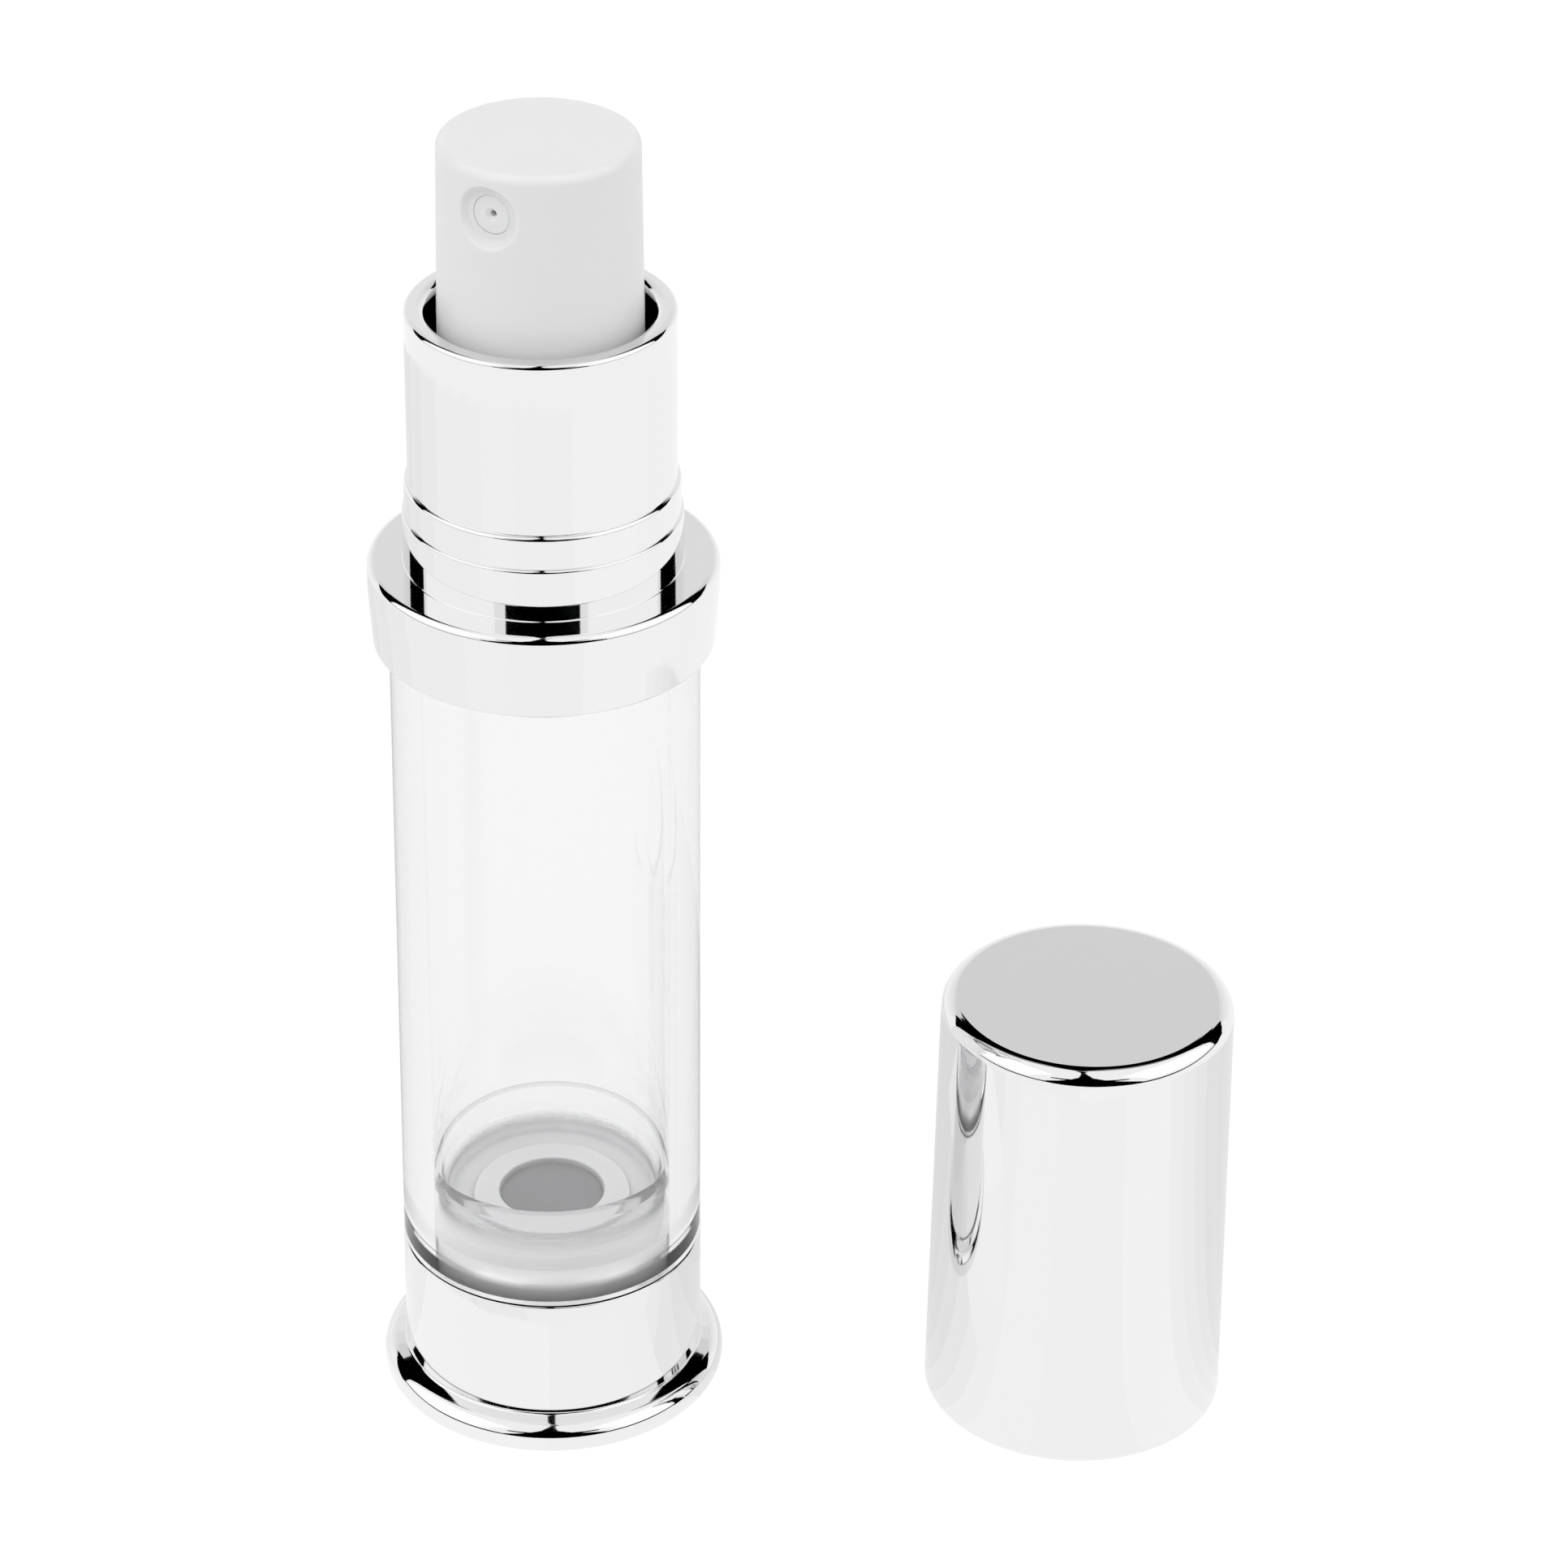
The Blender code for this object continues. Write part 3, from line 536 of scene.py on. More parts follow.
def piston_finish():
    """Translucent plastic: clear in the thin skirt, milky in the web, with painted shade: the web
    darker, darkest within the web's ring, and the skirt's rim darker.
    """
    finish = Finish(
        "milky_piston_plastic",
        ior=1.05,
        subsurface_weight=0.8,
        subsurface_scale=FOLLOWER_DEPTH,
    )
    finish.shader.inputs["Subsurface Radius"].default_value = (1.0, 1.0, 1.0)
    clear_from = follower_bottom + FOLLOWER_WEB_HEIGHT + FOLLOWER_WEB + FOLLOWER_CLEAR_RISE
    clear_to = follower_bottom + FOLLOWER_HEIGHT - FOLLOWER_RIM_DEPTH
    over_web = finish.spread(finish.height(), low=0, high=1, middle=clear_from, reach=0.0005)
    # Mask of the painted shade at the skirt's rim
    rim_shade = finish.spread(finish.height(), low=0, high=1, middle=clear_to, reach=0.00005)
    outside = finish.spread(finish.off_axis(), low=0, high=1, middle=FOLLOWER_RING_INNER, reach=0.00012)
    clearness = finish.spread(over_web, low=0.05, high=0.95, middle=0.5, reach=0.5)
    finish.link(clearness, finish.shader.inputs["Transmission Weight"])
    # Painted shade: a darker web, and a darker disc within its ring, for the dark hollow under them
    shaded_web = finish.mixed(outside, DISC_PAINTED_SHADE, WEB_PAINTED_SHADE)
    skirt = finish.mixed(over_web, shaded_web, SKIRT_COLOUR)
    finish.colour(rim_shade, skirt, SKIRT_RIM_PAINTED_SHADE)
    finish.roughness(finish.noise(size=0.001, detail=3), low=0.10, high=0.18)
    finish.bump(finish.noise(size=0.0002, detail=2), height=0.0000015)
    return finish.material


def rubber_finish():
    """Soft foam with fine pores."""
    finish = Finish("gasket_foam")
    pores = finish.spread(finish.noise(size=0.0003, detail=4), low=0, high=1)
    finish.colour(pores, *RUBBER_COLOURS)
    finish.roughness(finish.noise(size=0.0004, detail=3), low=0.65, high=0.85)
    finish.bump(finish.noise(size=0.00015, detail=3), height=0.00001)
    return finish.material


def steel_finish():
    """Drawn steel wire and a ground ball."""
    finish = Finish("stainless_steel", base_color=STEEL_COLOUR, metallic=1.0)
    finish.roughness(finish.noise(size=0.0004, detail=4), low=0.18, high=0.32)
    finish.bump(finish.noise(size=0.0001, detail=3), height=0.0000015)
    return finish.material


chrome = chrome_finish("chromed_plastic")
base_chrome = chrome_finish("chromed_base", inside=bare_radius)
clear = clear_finish()
white = white_finish()
natural = milky_finish("natural_plastic", NATURAL_COLOUR)
seal_white = milky_finish("seal_plastic", SEAL_COLOUR)
milky = piston_finish()
rubber = rubber_finish()
steel = steel_finish()


def neck_thread(place):
    """Pushes a point of the neck out where the thread runs."""
    radius = math.hypot(place.x, place.y)
    rise = place.z - BARREL_HEIGHT
    if radius < neck_radius - SAME_PLACE or not 0 < rise < NECK_LENGTH:
        return place
    first = math.atan2(place.y, place.x) % (2 * math.pi)
    height = 0.0
    for lap in range(math.ceil(THREAD_TURNS)):
        angle = first + 2 * math.pi * lap
        ends = min(angle, 2 * math.pi * THREAD_TURNS - angle) / THREAD_RUN_OUT
        off = (rise - THREAD_START_RISE - THREAD_PITCH * angle / (2 * math.pi)) / THREAD_HALF_WIDTH
        if ends > 0 and abs(off) < 1:
            height = max(height, min(1, ends) * THREAD_HEIGHT * (0.5 + 0.5 * math.cos(math.pi * off)))
    stretch = (radius + height) / radius
    return Vector((place.x * stretch, place.y * stretch, place.z))


def make_barrel():
    """The clear barrel. Its neck has close rings, which the thread pushes out."""
    spigot = base_radius - BASE_WALL - FIT_GAP
    shoulder_inside = BARREL_HEIGHT - SHOULDER_WALL
    low = BARREL_HEIGHT + NECK_RINGS_START
    span = NECK_LENGTH - NECK_RINGS_START - NECK_RINGS_END
    neck = [(neck_radius, low + span * index / NECK_RINGS) for index in range(NECK_RINGS + 1)]
    corners = [
        (bore_radius, BASE_FLOOR + SEAT_GAP, EDGE_FILLET),
        (spigot, BASE_FLOOR + SEAT_GAP, SMALL_FILLET),
        (spigot, BASE_HEIGHT + SEAT_GAP, EDGE_FILLET),
        (BARREL_RADIUS, BASE_HEIGHT + SEAT_GAP, EDGE_FILLET),
        (barrel_top_radius, BARREL_HEIGHT, SMALL_FILLET),
        (neck_radius, BARREL_HEIGHT),
        *neck,
        (neck_radius, neck_top, SMALL_FILLET),
        (neck_bore_radius, neck_top, EDGE_FILLET),
        (neck_bore_radius, shoulder_inside + BORE_CONE_HEIGHT, SMALL_FILLET),
        (bore_radius, shoulder_inside, SMALL_FILLET),
    ]
    mesh = turned_mesh("clear_barrel", corners, even_angles(ROUND_STEPS), neck_thread)
    barrel = smooth(add_piece("clear_barrel", mesh))
    belongs(barrel, "bottle", "clear_plastic", clear, "barrel")


def make_base():
    rest_outer = bore_radius - FIT_GAP
    corners = [
        (0, 0),
        (base_radius + FOOT_REACH, 0, FOOT_LOW_FILLET),
        (base_radius + FOOT_REACH, FOOT_HEIGHT - FOOT_FALL, FOOT_EDGE_FILLET),
        (base_radius, FOOT_HEIGHT, SMALL_FILLET),
        (base_radius, BASE_HEIGHT, SMALL_FILLET / 2),
        (base_radius - BASE_WALL, BASE_HEIGHT, SMALL_FILLET / 2),
        (base_radius - BASE_WALL, BASE_FLOOR, EDGE_FILLET),
        (rest_outer, BASE_FLOOR, EDGE_FILLET),
        (rest_outer, REST_RING_HEIGHT, EDGE_FILLET),
        (rest_outer - REST_RING_WALL, REST_RING_HEIGHT, SMALL_FILLET),
        (rest_outer - REST_RING_WALL, BASE_FLOOR, SMALL_FILLET),
        (0, BASE_FLOOR),
    ]
    base = add_piece("chrome_base", turned_mesh("chrome_base", corners, even_angles(ROUND_STEPS)))
    vent = rod(VENT_RADIUS, (0, VENT_OFFSET, -BASE_FLOOR), (0, VENT_OFFSET, 2 * BASE_FLOOR))
    combined(base, [("DIFFERENCE", vent)])
    belongs(smooth(base), "bottle", "chrome", base_chrome, "base")


def make_piston():
    lip = bore_radius - LIP_GAP
    waist = lip - FOLLOWER_WAIST
    inside = lip - FOLLOWER_WALL
    top = follower_bottom + FOLLOWER_HEIGHT
    web_bottom = follower_bottom + FOLLOWER_WEB_HEIGHT
    web_top = web_bottom + FOLLOWER_WEB
    web_low = web_top - FOLLOWER_WEB_SLOPE
    foot = REST_RING_HEIGHT + FOLLOWER_SEAT_GAP
    corners = [
        (0, web_bottom),
        (inside - SMALL_FILLET, web_bottom),
        (inside, foot, EDGE_FILLET),
        (lip, foot, EDGE_FILLET / 2),
        (lip, follower_bottom + FOLLOWER_LIP_HEIGHT, SMALL_FILLET),
        (waist, follower_bottom + 1.5 * FOLLOWER_LIP_HEIGHT, SMALL_FILLET),
        (waist, top - 1.5 * FOLLOWER_LIP_HEIGHT, SMALL_FILLET),
        (lip, top - FOLLOWER_LIP_HEIGHT, SMALL_FILLET),
        (lip, top, SMALL_FILLET / 2),
        (lip - FOLLOWER_RIM, top, SMALL_FILLET / 2),
        (inside, top - 2 * FOLLOWER_LIP_HEIGHT, SMALL_FILLET),
        (inside, web_top, SMALL_FILLET),
        (FOLLOWER_RING_OUTER, web_low, EDGE_FILLET),
        (FOLLOWER_RING_OUTER, web_low + FOLLOWER_RING_HEIGHT, SMALL_FILLET / 2),
        (FOLLOWER_RING_INNER, web_low + FOLLOWER_RING_HEIGHT, SMALL_FILLET / 2),
        (FOLLOWER_RING_INNER, web_low, EDGE_FILLET),
        (0, web_low),
    ]
    belongs(turned("milky_piston", corners), "follower", "milky_plastic", milky, "follower_piston")


def make_collar():
    flange_radius = skirt_bore_radius + FLANGE_WALL
    flange_plate_bottom = closure_top + TURN_GAP
    tube_bore_radius = TUBE_RADIUS - TUBE_WALL
    tube_top = flange_top + TUBE_LENGTH
    bead_bottom = flange_top + BEAD_RISE
    bead_top = bead_bottom + BEAD_HEIGHT
    bead_face = bead_radius - BEAD_RELIEF
    corners = [
        (skirt_bore_radius, collar_bottom, EDGE_FILLET),
        (flange_radius - FLANGE_TAPER, collar_bottom, SMALL_FILLET),
        (flange_radius, flange_top - FLANGE_TAPER_DEPTH, FLANGE_TAPER_DEPTH),
        (flange_radius, flange_top, FLANGE_FILLET),
        (bead_radius, flange_top, EDGE_FILLET),
        (bead_radius, bead_bottom, BEAD_RELIEF),
        (bead_face, bead_bottom, EDGE_FILLET / 2),
        (bead_face, bead_top, BEAD_FILLET),
        (TUBE_RADIUS, bead_top, EDGE_FILLET),
        (TUBE_RADIUS, tube_top, TUBE_RIM_FILLET),
        (tube_bore_radius, tube_top, 2 * TUBE_RIM_FILLET),
        (tube_bore_radius, flange_plate_bottom, EDGE_FILLET),
        (skirt_bore_radius, flange_plate_bottom, EDGE_FILLET),
    ]
    belongs(turned("chrome_collar", corners), "head", "chrome", chrome, "collar")


def make_housing():
    bottom, top = (corner.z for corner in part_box("pump_housing"))
    plug = neck_bore_radius - FIT_GAP
    foot = CAGE_RADIUS + HOUSING_WALL
    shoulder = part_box("ball_retainer")[0].z
    flange_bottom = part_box("neck_gasket")[1].z + SEAT_GAP
    corners = [
        (INLET_RADIUS, bottom, EDGE_FILLET),
        (foot, bottom, SMALL_FILLET),
        (foot, shoulder - SMALL_FILLET, EDGE_FILLET),
        (housing_radius, shoulder + SMALL_FILLET, EDGE_FILLET),
        (housing_radius, flange_bottom - HOUSING_PLUG_LENGTH, EDGE_FILLET),
        (plug, flange_bottom - HOUSING_PLUG_LENGTH, SMALL_FILLET),
        (plug, flange_bottom),
        (neck_radius, flange_bottom),
        (neck_radius, flange_bottom + HOUSING_FLANGE),
        (housing_radius, flange_bottom + HOUSING_FLANGE),
        (housing_radius, top, EDGE_FILLET),
        (HOUSING_BORE_RADIUS, top, EDGE_FILLET),
        (HOUSING_BORE_RADIUS, shoulder - SEAT_GAP),
        (CAGE_RADIUS, shoulder - SEAT_GAP),
        (CAGE_RADIUS, shoulder - SEAT_GAP - CAGE_DEPTH),
        (INLET_RADIUS, bottom + INLET_LENGTH),
    ]
    belongs(turned("pump_cylinder", corners), "head", "natural_plastic", natural, "pump_housing")


def make_spring():
    """The return spring, coiled over the length of its solid."""
    low, high = (corner.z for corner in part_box("return_spring"))
    length = high - low
    curve = bpy.data.curves.new("pump_spring", "CURVE")
    curve.dimensions = "3D"
    curve.bevel_depth = SPRING_WIRE / 2
    curve.bevel_resolution = 4
    curve.use_fill_caps = True
    wire = curve.splines.new("POLY")
    count = SPRING_TURNS * SPRING_TURN_STEPS + 1
    wire.points.add(count - 1)
    for index, point in enumerate(wire.points):
        share = index / (count - 1)
        angle = 2 * math.pi * SPRING_TURNS * share
        height = low + SPRING_WIRE / 2 + (length - SPRING_WIRE) * share
        point.co = (SPRING_RADIUS * math.cos(angle), SPRING_RADIUS * math.sin(angle), height, 1)
    shown = add_piece("spring_curve", curve)
    graph = bpy.context.evaluated_depsgraph_get()
    mesh = bpy.data.meshes.new_from_object(shown.evaluated_get(graph))
    bpy.data.objects.remove(shown)
    mesh.shade_smooth()
    spring = add_piece("pump_spring", mesh)
    belongs(spring, "head", "steel", steel, "return_spring")
    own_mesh(spring)


def nozzle_recess(place):
    """Presses the button's wall in to a flat floor round the nozzle, with a soft edge."""
    forward = place.dot(outward)
    off_centre = math.hypot(place.dot(sideways), place.z - nozzle.z)
    behind = forward < nozzle_face - NOZZLE_SKIN_FALL
    within = math.hypot(place.x, place.y) < nozzle_face - NOZZLE_SKIN
    if behind or within:
        return place
    share = (NOZZLE_RECESS_RADIUS + NOZZLE_RECESS_SOFTNESS / 2 - off_centre) / NOZZLE_RECESS_SOFTNESS
    share = max(0.0, min(1.0, share))
    eased = share**3 * (share * (6 * share - 15) + 10)  # level at both ends
    return place + outward * (recess_floor - forward) * eased


def button_angles():
    """The button's columns, which stand close round the nozzle."""
    middle = math.atan2(outward.y, outward.x)
    first = middle - RECESS_HALF_ANGLE
    last = middle + RECESS_HALF_ANGLE
    near = 2 * RECESS_HALF_ANGLE
    far = 2 * math.pi - near
    fine = [first + near * index / RECESS_COLUMNS for index in range(RECESS_COLUMNS + 1)]
    coarse = [last + far * index / BUTTON_OTHER_COLUMNS for index in range(1, BUTTON_OTHER_COLUMNS)]
    return fine + coarse


def make_button():
    """The push button. Its wall has close rings where the nozzle's recess is pressed in."""
    post = SOCKET_RADIUS + SOCKET_WALL
    top_radius = ACTUATOR_RADIUS - ACTUATOR_DRAFT
    roof = actuator_top - ACTUATOR_ROOF
    post_bottom = actuator_bottom + TURN_GAP
    reach = NOZZLE_RECESS_RADIUS + NOZZLE_RECESS_SOFTNESS
    wall = []
    for index in range(RECESS_RINGS + 1):
        height = nozzle.z - reach + 2 * reach * index / RECESS_RINGS
        draft = ACTUATOR_DRAFT * (height - actuator_bottom) / ACTUATOR_HEIGHT
        wall.append((ACTUATOR_RADIUS - draft, height))
    corners = [
        (ACTUATOR_RADIUS - ACTUATOR_WALL, actuator_bottom, EDGE_FILLET),
        (ACTUATOR_RADIUS, actuator_bottom, SMALL_FILLET),
        *wall,
        (top_radius, actuator_top, ACTUATOR_TOP_FILLET),
        (0, actuator_top),
        (0, stem_top + SEAT_GAP),
        (SOCKET_RADIUS, stem_top + SEAT_GAP),
        (SOCKET_RADIUS, post_bottom, EDGE_FILLET),
        (post, post_bottom, SMALL_FILLET),
        (post, roof, SMALL_FILLET),
        (top_radius - ACTUATOR_WALL, roof, SMALL_FILLET),
    ]
    mesh = turned_mesh("push_button", corners, button_angles(), nozzle_recess)
    button = add_piece("push_button", mesh)
    changes = (
        ("UNION", INSERT_RADIUS + NOZZLE_BOSS_WALL, 0, nozzle_face - ACTUATOR_WALL),
        ("DIFFERENCE", INSERT_RADIUS + INSERT_GAP, insert_back - SEAT_GAP, nozzle_face),
        ("DIFFERENCE", CHANNEL_RADIUS, 0, nozzle_face),
    )
    rods = [
        (operation, rod(radius, nozzle + outward * start, nozzle + outward * end))
        for operation, radius, start, end in changes
    ]
    rods.append(("DIFFERENCE", rod(RISER_RADIUS, (0, 0, stem_top), nozzle)))
    combined(button, rods)
    belongs(smooth(button, RECESS_SHARP_ANGLE), "button", "white_plastic", white, "actuator")


def make_insert():
    """The nozzle's small disc, with its orifice and the swirl chamber behind it."""
    corners = [
        (SWIRL_RADIUS, 0),
        (INSERT_RADIUS, 0, EDGE_FILLET),
        (INSERT_RADIUS, INSERT_LENGTH, EDGE_FILLET),
        (ORIFICE_CONE, INSERT_LENGTH, EDGE_FILLET),
        (ORIFICE_RADIUS, INSERT_LENGTH - ORIFICE_CONE / 2, EDGE_FILLET),
        (ORIFICE_RADIUS, SWIRL_DEPTH),
        (SWIRL_RADIUS, SWIRL_DEPTH),
    ]
    insert = turned("spray_insert", corners, SMALL_ROUND_STEPS)
    place = Matrix.Translation(nozzle + outward * insert_back)
    insert.matrix_world = place @ outward.to_track_quat("Z", "Y").to_matrix().to_4x4()
    belongs(insert, "button", "white_plastic", white, "nozzle_insert")


def make_cap():
    mouth_inside = bead_radius + CAP_GRIP_GAP
    crown_inside = TUBE_RADIUS + CAP_TUBE_GAP
    top = cap_high.z
    ceiling = top - CAP_TOP_WALL
    grip_top = BEAD_RISE + BEAD_HEIGHT + TURN_GAP
    corners = [
        (mouth_inside, 0, SMALL_FILLET),
        (mouth_inside + CAP_MOUTH_WALL, 0, SMALL_FILLET),
        (crown_inside + CAP_CROWN_WALL, top, CAP_TOP_FILLET),
        (0, top),
        (0, ceiling),
        (crown_inside, ceiling, SMALL_FILLET),
        (mouth_inside, grip_top, EDGE_FILLET),
    ]
    cap = turned("chrome_cap", corners, place=(cap_middle.x, cap_middle.y, 0))
    belongs(cap, "cap", "chrome", chrome, "cap")


def dress_solids():
    """Gives the solids that stay their materials."""
    finishes = {
        "closure": natural,
        "stem_guide": natural,
        "ball_retainer": natural,
        "stem_pin": natural,
        "piston_seal": seal_white,
        "neck_gasket": rubber,
        "stem": white,
        "inlet_ball": steel,
    }
    for node, finish in finishes.items():
        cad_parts[node].material_slots[0].material = finish


# Studio
BACKDROP = 1.0  # white
SKY_FOR_OBJECT = 0.75  # what lights the object from all round
FLOOR_COLOUR = 0.80
FLOOR_GLOW = 0.952
FLOOR_SHADOW = 0.07  # share of the floor's brightness that a shadow can take away
FLOOR_REACH = 4.0
LAMP_SIZE = 0.5
LAMP_AIM = (0.01, 0, 0.05)
LAMPS = [  # (name, place, power in watts)
    ("lamp_above_left", (-0.35, -0.30, 0.60), 1.3),
    ("lamp_above_right", (0.45, -0.20, 0.55), 0.8),
]
DOME = 3.0  # distance of the cards that hang round the object
DARK_DOME = 0.97 * DOME  # the dark ones hang in front of the others
BLACK = 0.0  # shade of the dark ones


def seen_directly(nodes, links):
    """1 for rays from the camera and for those seen in gloss or through clear plastic, else 0."""
    path = nodes.new("ShaderNodeLightPath")
    both = nodes.new("ShaderNodeMath")
    both.operation = "MAXIMUM"
    links.new(path.outputs["Is Camera Ray"], both.inputs[0])
    links.new(path.outputs["Is Glossy Ray"], both.inputs[1])
    all_three = nodes.new("ShaderNodeMath")
    all_three.operation = "MAXIMUM"
    links.new(both.outputs["Value"], all_three.inputs[0])
    links.new(path.outputs["Is Transmission Ray"], all_three.inputs[1])
    return all_three.outputs["Value"]


def make_world():
    """A white backdrop, whose light on the object is a little fainter than its look."""
    world = bpy.data.worlds.new("studio")
    bpy.context.scene.world = world
    world.use_nodes = True
    nodes, links = world.node_tree.nodes, world.node_tree.links
    background = nodes["Background"]
    background.inputs["Color"].default_value = (1, 1, 1, 1)
    strength = nodes.new("ShaderNodeMapRange")
    strength.inputs["To Min"].default_value = SKY_FOR_OBJECT
    strength.inputs["To Max"].default_value = BACKDROP
    links.new(seen_directly(nodes, links), strength.inputs["Value"])
    links.new(strength.outputs["Result"], background.inputs["Strength"])


def flat_sheet(name, corners, material):
    mesh = bpy.data.meshes.new(name)
    mesh.from_pydata(corners, [], [tuple(range(len(corners)))])
    mesh.materials.append(material)
    return add_piece(name, mesh)


def make_floor():
    """White floor, on which the object's shadow stays faintly."""
    material = bpy.data.materials.new("floor")
    material.use_nodes = True
    nodes, links = material.node_tree.nodes, material.node_tree.links
    nodes.clear()
    plain = nodes.new("ShaderNodeBsdfDiffuse")
    plain.inputs["Color"].default_value = (FLOOR_COLOUR,) * 3 + (1,)
    faint = nodes.new("ShaderNodeBsdfDiffuse")
    faint.inputs["Color"].default_value = (FLOOR_SHADOW,) * 3 + (1,)
    glow = nodes.new("ShaderNodeEmission")
    glow.inputs["Strength"].default_value = FLOOR_GLOW
    shown = nodes.new("ShaderNodeAddShader")
    links.new(faint.outputs[0], shown.inputs[0])
    links.new(glow.outputs[0], shown.inputs[1])
    mix = nodes.new("ShaderNodeMixShader")
    links.new(seen_directly(nodes, links), mix.inputs[0])
    links.new(plain.outputs[0], mix.inputs[1])
    links.new(shown.outputs[0], mix.inputs[2])
    output = nodes.new("ShaderNodeOutputMaterial")
    links.new(mix.outputs[0], output.inputs["Surface"])
    material.cycles.emission_sampling = "NONE"
    signs = ((-1, -1), (1, -1), (1, 1), (-1, 1))
    sheet = flat_sheet("floor", [(x * FLOOR_REACH, y * FLOOR_REACH, 0) for x, y in signs], material)


# Cards that show only in gloss. Each is outlined by (azimuth, elevation) in degrees, as seen from
# the object, with azimuth 0 at the front and 90 on the right.
DARK_FRONT_LEFT = [
    (-35, -6), (-30, 6), (-22, 18), (-17, 27), (-13, 37), (-8, 50), (-7, 70), (-12, 84),
]
DARK_FRONT_RIGHT = [
    (43, -6), (37, 6), (28, 18), (20, 27), (13, 37), (5, 50), (3, 70), (4, 84),
]
DARK_BAR_LOW = [(-29, 26), (0, 26), (32, 26)]
DARK_BAR_HIGH = [(-29, 32), (0, 36), (32, 32)]
DARK_TOP = [(-12, 84), (4, 84), (160, 84), (-160, 84)]
DARK_BACK_LOW = [(109, 2), (118, 10), (127, 20), (135, 27), (150, 33), (165, 36), (180, 37)]
DARK_BACK_HIGH = [(106, 6), (109, 20), (117, 36), (131, 50), (148, 58), (164, 66), (180, 84)]
GREY_BACK_LOW = [(133, 50), (148, 58), (164, 66), (180, 80)]
GREY_BACK_HIGH = [(136, 62), (150, 74), (162, 80), (176, 84)]
GREY_BACK_SHADE = 0.35
SIDE_LOW = [(46, 6), (66, 9), (86, 10), (106, 14)]
SIDE_HIGH = [(30, 48), (56, 60), (86, 62), (116, 50)]
SIDE_SHADE = 1.16
BACKDROP_REACH = 46  # degrees to either side of straight behind
BACKDROP_BANDS = [  # (lower elevation, upper elevation, shade)
    (8, 16, 0.95), (16, 22, 0.92), (22, 27, 0.88), (27, 31, 0.82), (31, 39, 0.73),
]

# The white sweep's edge, as points of (x, y, z) on the right
SWEEP_EDGE = [
    (0.11, -0.19, 0.0), (0.15, -0.15, 0.0), (0.20, -0.115, 0.0), (0.29, -0.078, 0.004),
    (0.38, 0.0, 0.026), (0.44, 0.12, 0.055), (0.42, 0.22, 0.10),
]
SWEEP_EDGE_HEIGHT = 0.026
DARK_FLOOR = [(-0.13, -0.19), (0.16, -0.19), (3.0, -3.4), (-2.6, -3.4)]  # in front of the sweep
DARK_FLOOR_HEIGHT = 0.0004

# Shades of the floor round the upright walls, which give them their soft streaks: azimuths, and the
# shade from each to the next
BOTTLE_STREAKS = [
    (-180, 0.86), (-140, 0.91), (-118, 0.95), (-96, 0.985), (-49, 1.01), (-20, 1.0), (27, 1.03),
    (84, 1.02), (100, 1.01), (116, 1.01), (132, 1.0), (180, 1.0),
]
CAP_STREAKS = [
    (-180, 0.78), (-136, 0.80), (-118, 0.83), (-102, 0.87), (-88, 0.92), (-74, 0.96),
    (-62, 1.0), (-49, 1.02), (-20, 1.01), (27, 1.03),
    (62, 0.99), (74, 0.96), (86, 0.92), (98, 0.87), (116, 0.85), (180, 0.85),
]
FOOT_STREAKS = [
    (-180, 0.90), (-120, 0.97), (-90, 1.03), (-30, 1.03), (0, 1.01), (45, 1.0), (62, 1.0),
]
BOTTLE_STREAK_REACH = 0.16
CAP_STREAK_REACH = 0.055
FOOT_STREAK_REACH = 0.023
BOTTLE_STREAK_HEIGHT = 0.0002
CAP_STREAK_HEIGHT = 0.0003
FOOT_STREAK_HEIGHT = 0.0004
STREAK_STEPS = 3  # straight edges to each sector's arc


def direction(azimuth, elevation):
    """The way from the object, as a vector of length 1."""
    azimuth, elevation = math.radians(azimuth), math.radians(elevation)
    level = math.cos(elevation)
    return Vector((math.sin(azimuth) * level, -math.cos(azimuth) * level, math.sin(elevation)))


def make_card(name, corners, shade):
    """A flat card of one shade that only gloss shows."""
    material = bpy.data.materials.new(name)
    material.use_nodes = True
    nodes, links = material.node_tree.nodes, material.node_tree.links
    nodes.clear()
    glow = nodes.new("ShaderNodeEmission")
    glow.inputs["Color"].default_value = (shade,) * 3 + (1,)
    output = nodes.new("ShaderNodeOutputMaterial")
    links.new(glow.outputs[0], output.inputs["Surface"])
    material.cycles.emission_sampling = "NONE"
    card = flat_sheet(name, corners, material)
    card.visible_camera = False
    card.visible_diffuse = False
    card.visible_transmission = False
    card.visible_shadow = False


def make_band(name, low, high, shade, mirrored=False):
    """Hangs a band of four-sided cards between two outlines of equal length."""
    side = -1 if mirrored else 1
    distance = DARK_DOME if shade == BLACK else DOME
    for index in range(len(low) - 1):
        outline = [low[index], low[index + 1], high[index + 1], high[index]]
        corners = [direction(side * azimuth, elevation) * distance for azimuth, elevation in outline]
        make_card(f"{name}_{index}", corners, shade)


def make_sweep_edge(name, mirrored):
    """A thin dark ribbon that stands where the white sweep ends."""
    side = -1 if mirrored else 1
    rise = Vector((0, 0, SWEEP_EDGE_HEIGHT))
    points = [Vector((side * x, y, z)) for x, y, z in SWEEP_EDGE]
    for index in range(len(points) - 1):
        start, end = points[index], points[index + 1]
        make_card(f"{name}_{index}", [start, end, end + rise, start + rise], BLACK)


def make_streaks(name, shades, middle, reach):
    """Sectors that lie on the floor round an upright piece and show only in its gloss."""
    middle = Vector(middle)
    for index in range(len(shades) - 1):
        start, shade = shades[index]
        sweep = shades[index + 1][0] - start
        corners = [middle]
        for step in range(STREAK_STEPS + 1):
            corners.append(middle + direction(start + sweep * step / STREAK_STEPS, 0) * reach)
        make_card(f"{name}_{index}", corners, shade)


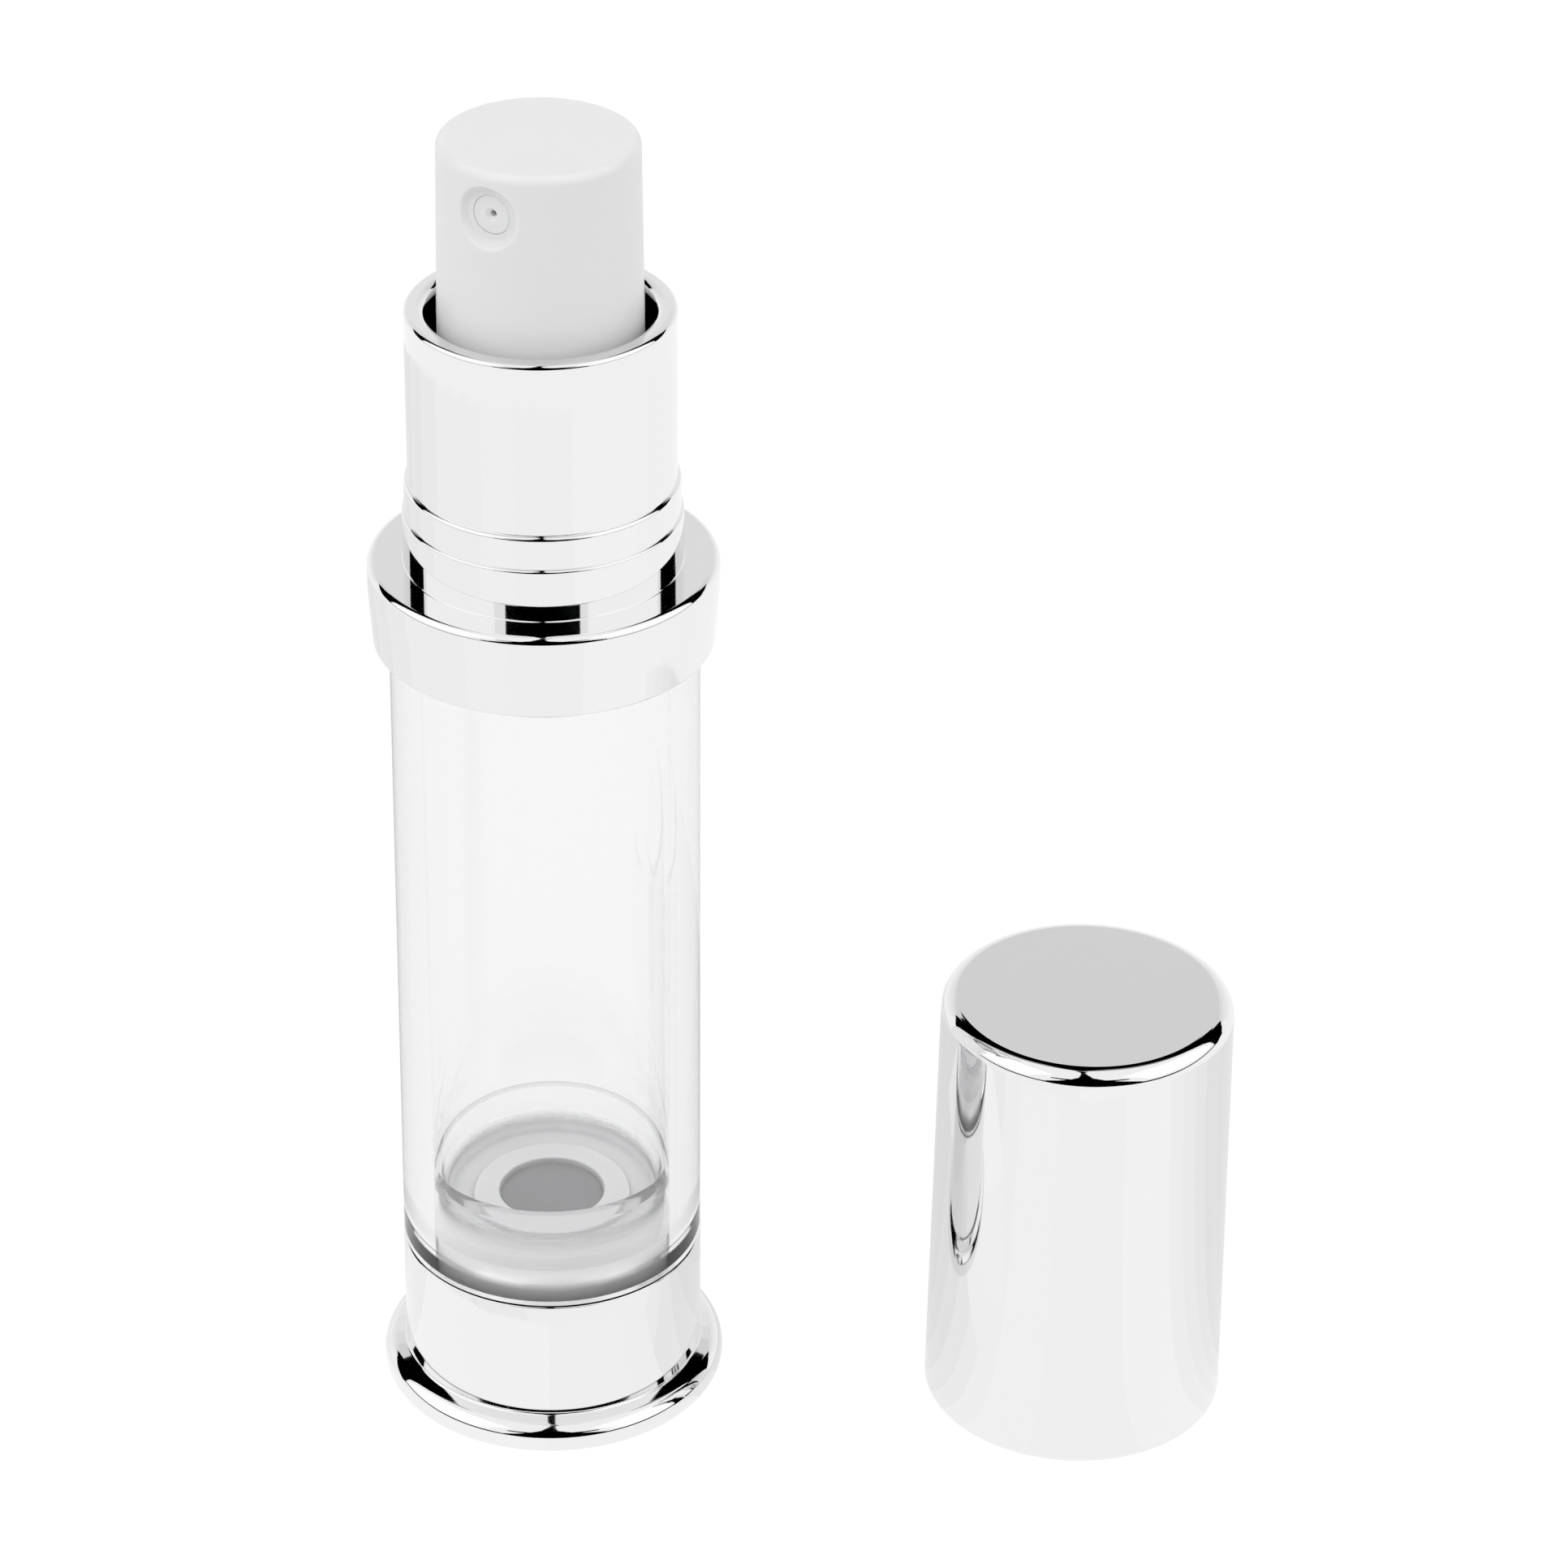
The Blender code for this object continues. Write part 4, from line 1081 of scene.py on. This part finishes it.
def make_cards():
    """The dark zone in front, the sweep, the backdrop and the floor's shades, as gloss shows them."""
    make_band("dark_front", DARK_FRONT_LEFT, DARK_FRONT_RIGHT, BLACK)
    make_band("dark_bar", DARK_BAR_LOW, DARK_BAR_HIGH, BLACK)
    make_card("dark_top", [direction(*corner) * DOME for corner in DARK_TOP], BLACK)
    edges = (180 - BACKDROP_REACH, 180, 180 + BACKDROP_REACH)
    for index, (low, high, shade) in enumerate(BACKDROP_BANDS):
        low_outline = [(edge, low) for edge in edges]
        high_outline = [(edge, high) for edge in edges]
        make_band(f"backdrop_{index}", low_outline, high_outline, shade)
    for name, mirrored in (("right", False), ("left", True)):
        make_band(f"dark_back_{name}", DARK_BACK_LOW, DARK_BACK_HIGH, BLACK, mirrored)
        make_band(f"grey_back_{name}", GREY_BACK_LOW, GREY_BACK_HIGH, GREY_BACK_SHADE, mirrored)
        make_band(f"bright_side_{name}", SIDE_LOW, SIDE_HIGH, SIDE_SHADE, mirrored)
        make_sweep_edge(f"sweep_edge_{name}", mirrored)
    make_card("dark_floor", [(x, y, DARK_FLOOR_HEIGHT) for x, y in DARK_FLOOR], BLACK)
    make_streaks("bottle_streaks", BOTTLE_STREAKS, (0, 0, BOTTLE_STREAK_HEIGHT), BOTTLE_STREAK_REACH)
    cap_floor = (cap_middle.x, cap_middle.y, CAP_STREAK_HEIGHT)
    make_streaks("cap_streaks", CAP_STREAKS, cap_floor, CAP_STREAK_REACH)
    make_streaks("foot_streaks", FOOT_STREAKS, (0, 0, FOOT_STREAK_HEIGHT), FOOT_STREAK_REACH)


def make_lamp(name, place, power):
    """A soft lamp aimed at the bottle, which doesn't show in gloss."""
    data = bpy.data.lights.new(name, "AREA")
    data.shape = "SQUARE"
    data.size = LAMP_SIZE
    data.energy = power
    lamp = bpy.data.objects.new(name, data)
    lamp.location = place
    lamp.rotation_mode = "QUATERNION"
    lamp.rotation_quaternion = (Vector(place) - Vector(LAMP_AIM)).to_track_quat("Z", "Y")
    bpy.context.scene.collection.objects.link(lamp)
    lamp.visible_glossy = False


def make_camera():
    """The photograph's camera."""
    data = bpy.data.cameras.new("camera")
    data.sensor_width = SENSOR_MM
    data.lens = FOCAL_PIXELS / PHOTO_PIXELS * SENSOR_MM
    data.clip_start = CAMERA_CLIP
    camera = bpy.data.objects.new("camera", data)
    tilt = Matrix.Rotation(math.pi / 2 - CAMERA_PITCH, 4, "X")
    roll = Matrix.Rotation(CAMERA_ROLL, 4, "Z")
    camera.matrix_world = Matrix.Translation(CAMERA_PLACE) @ tilt @ roll
    bpy.context.scene.collection.objects.link(camera)
    bpy.context.scene.camera = camera


make_camera()
make_barrel()
make_base()
make_piston()
make_collar()
make_housing()
make_spring()
make_button()
make_insert()
make_cap()
dress_solids()

make_world()
make_floor()
make_cards()
for lamp in LAMPS:
    make_lamp(*lamp)

bpy.context.scene.view_settings.view_transform = "Standard"
# Light from the dull pieces inside passes the clear barrel without being blurred
bpy.context.scene.cycles.blur_glossy = 0.0
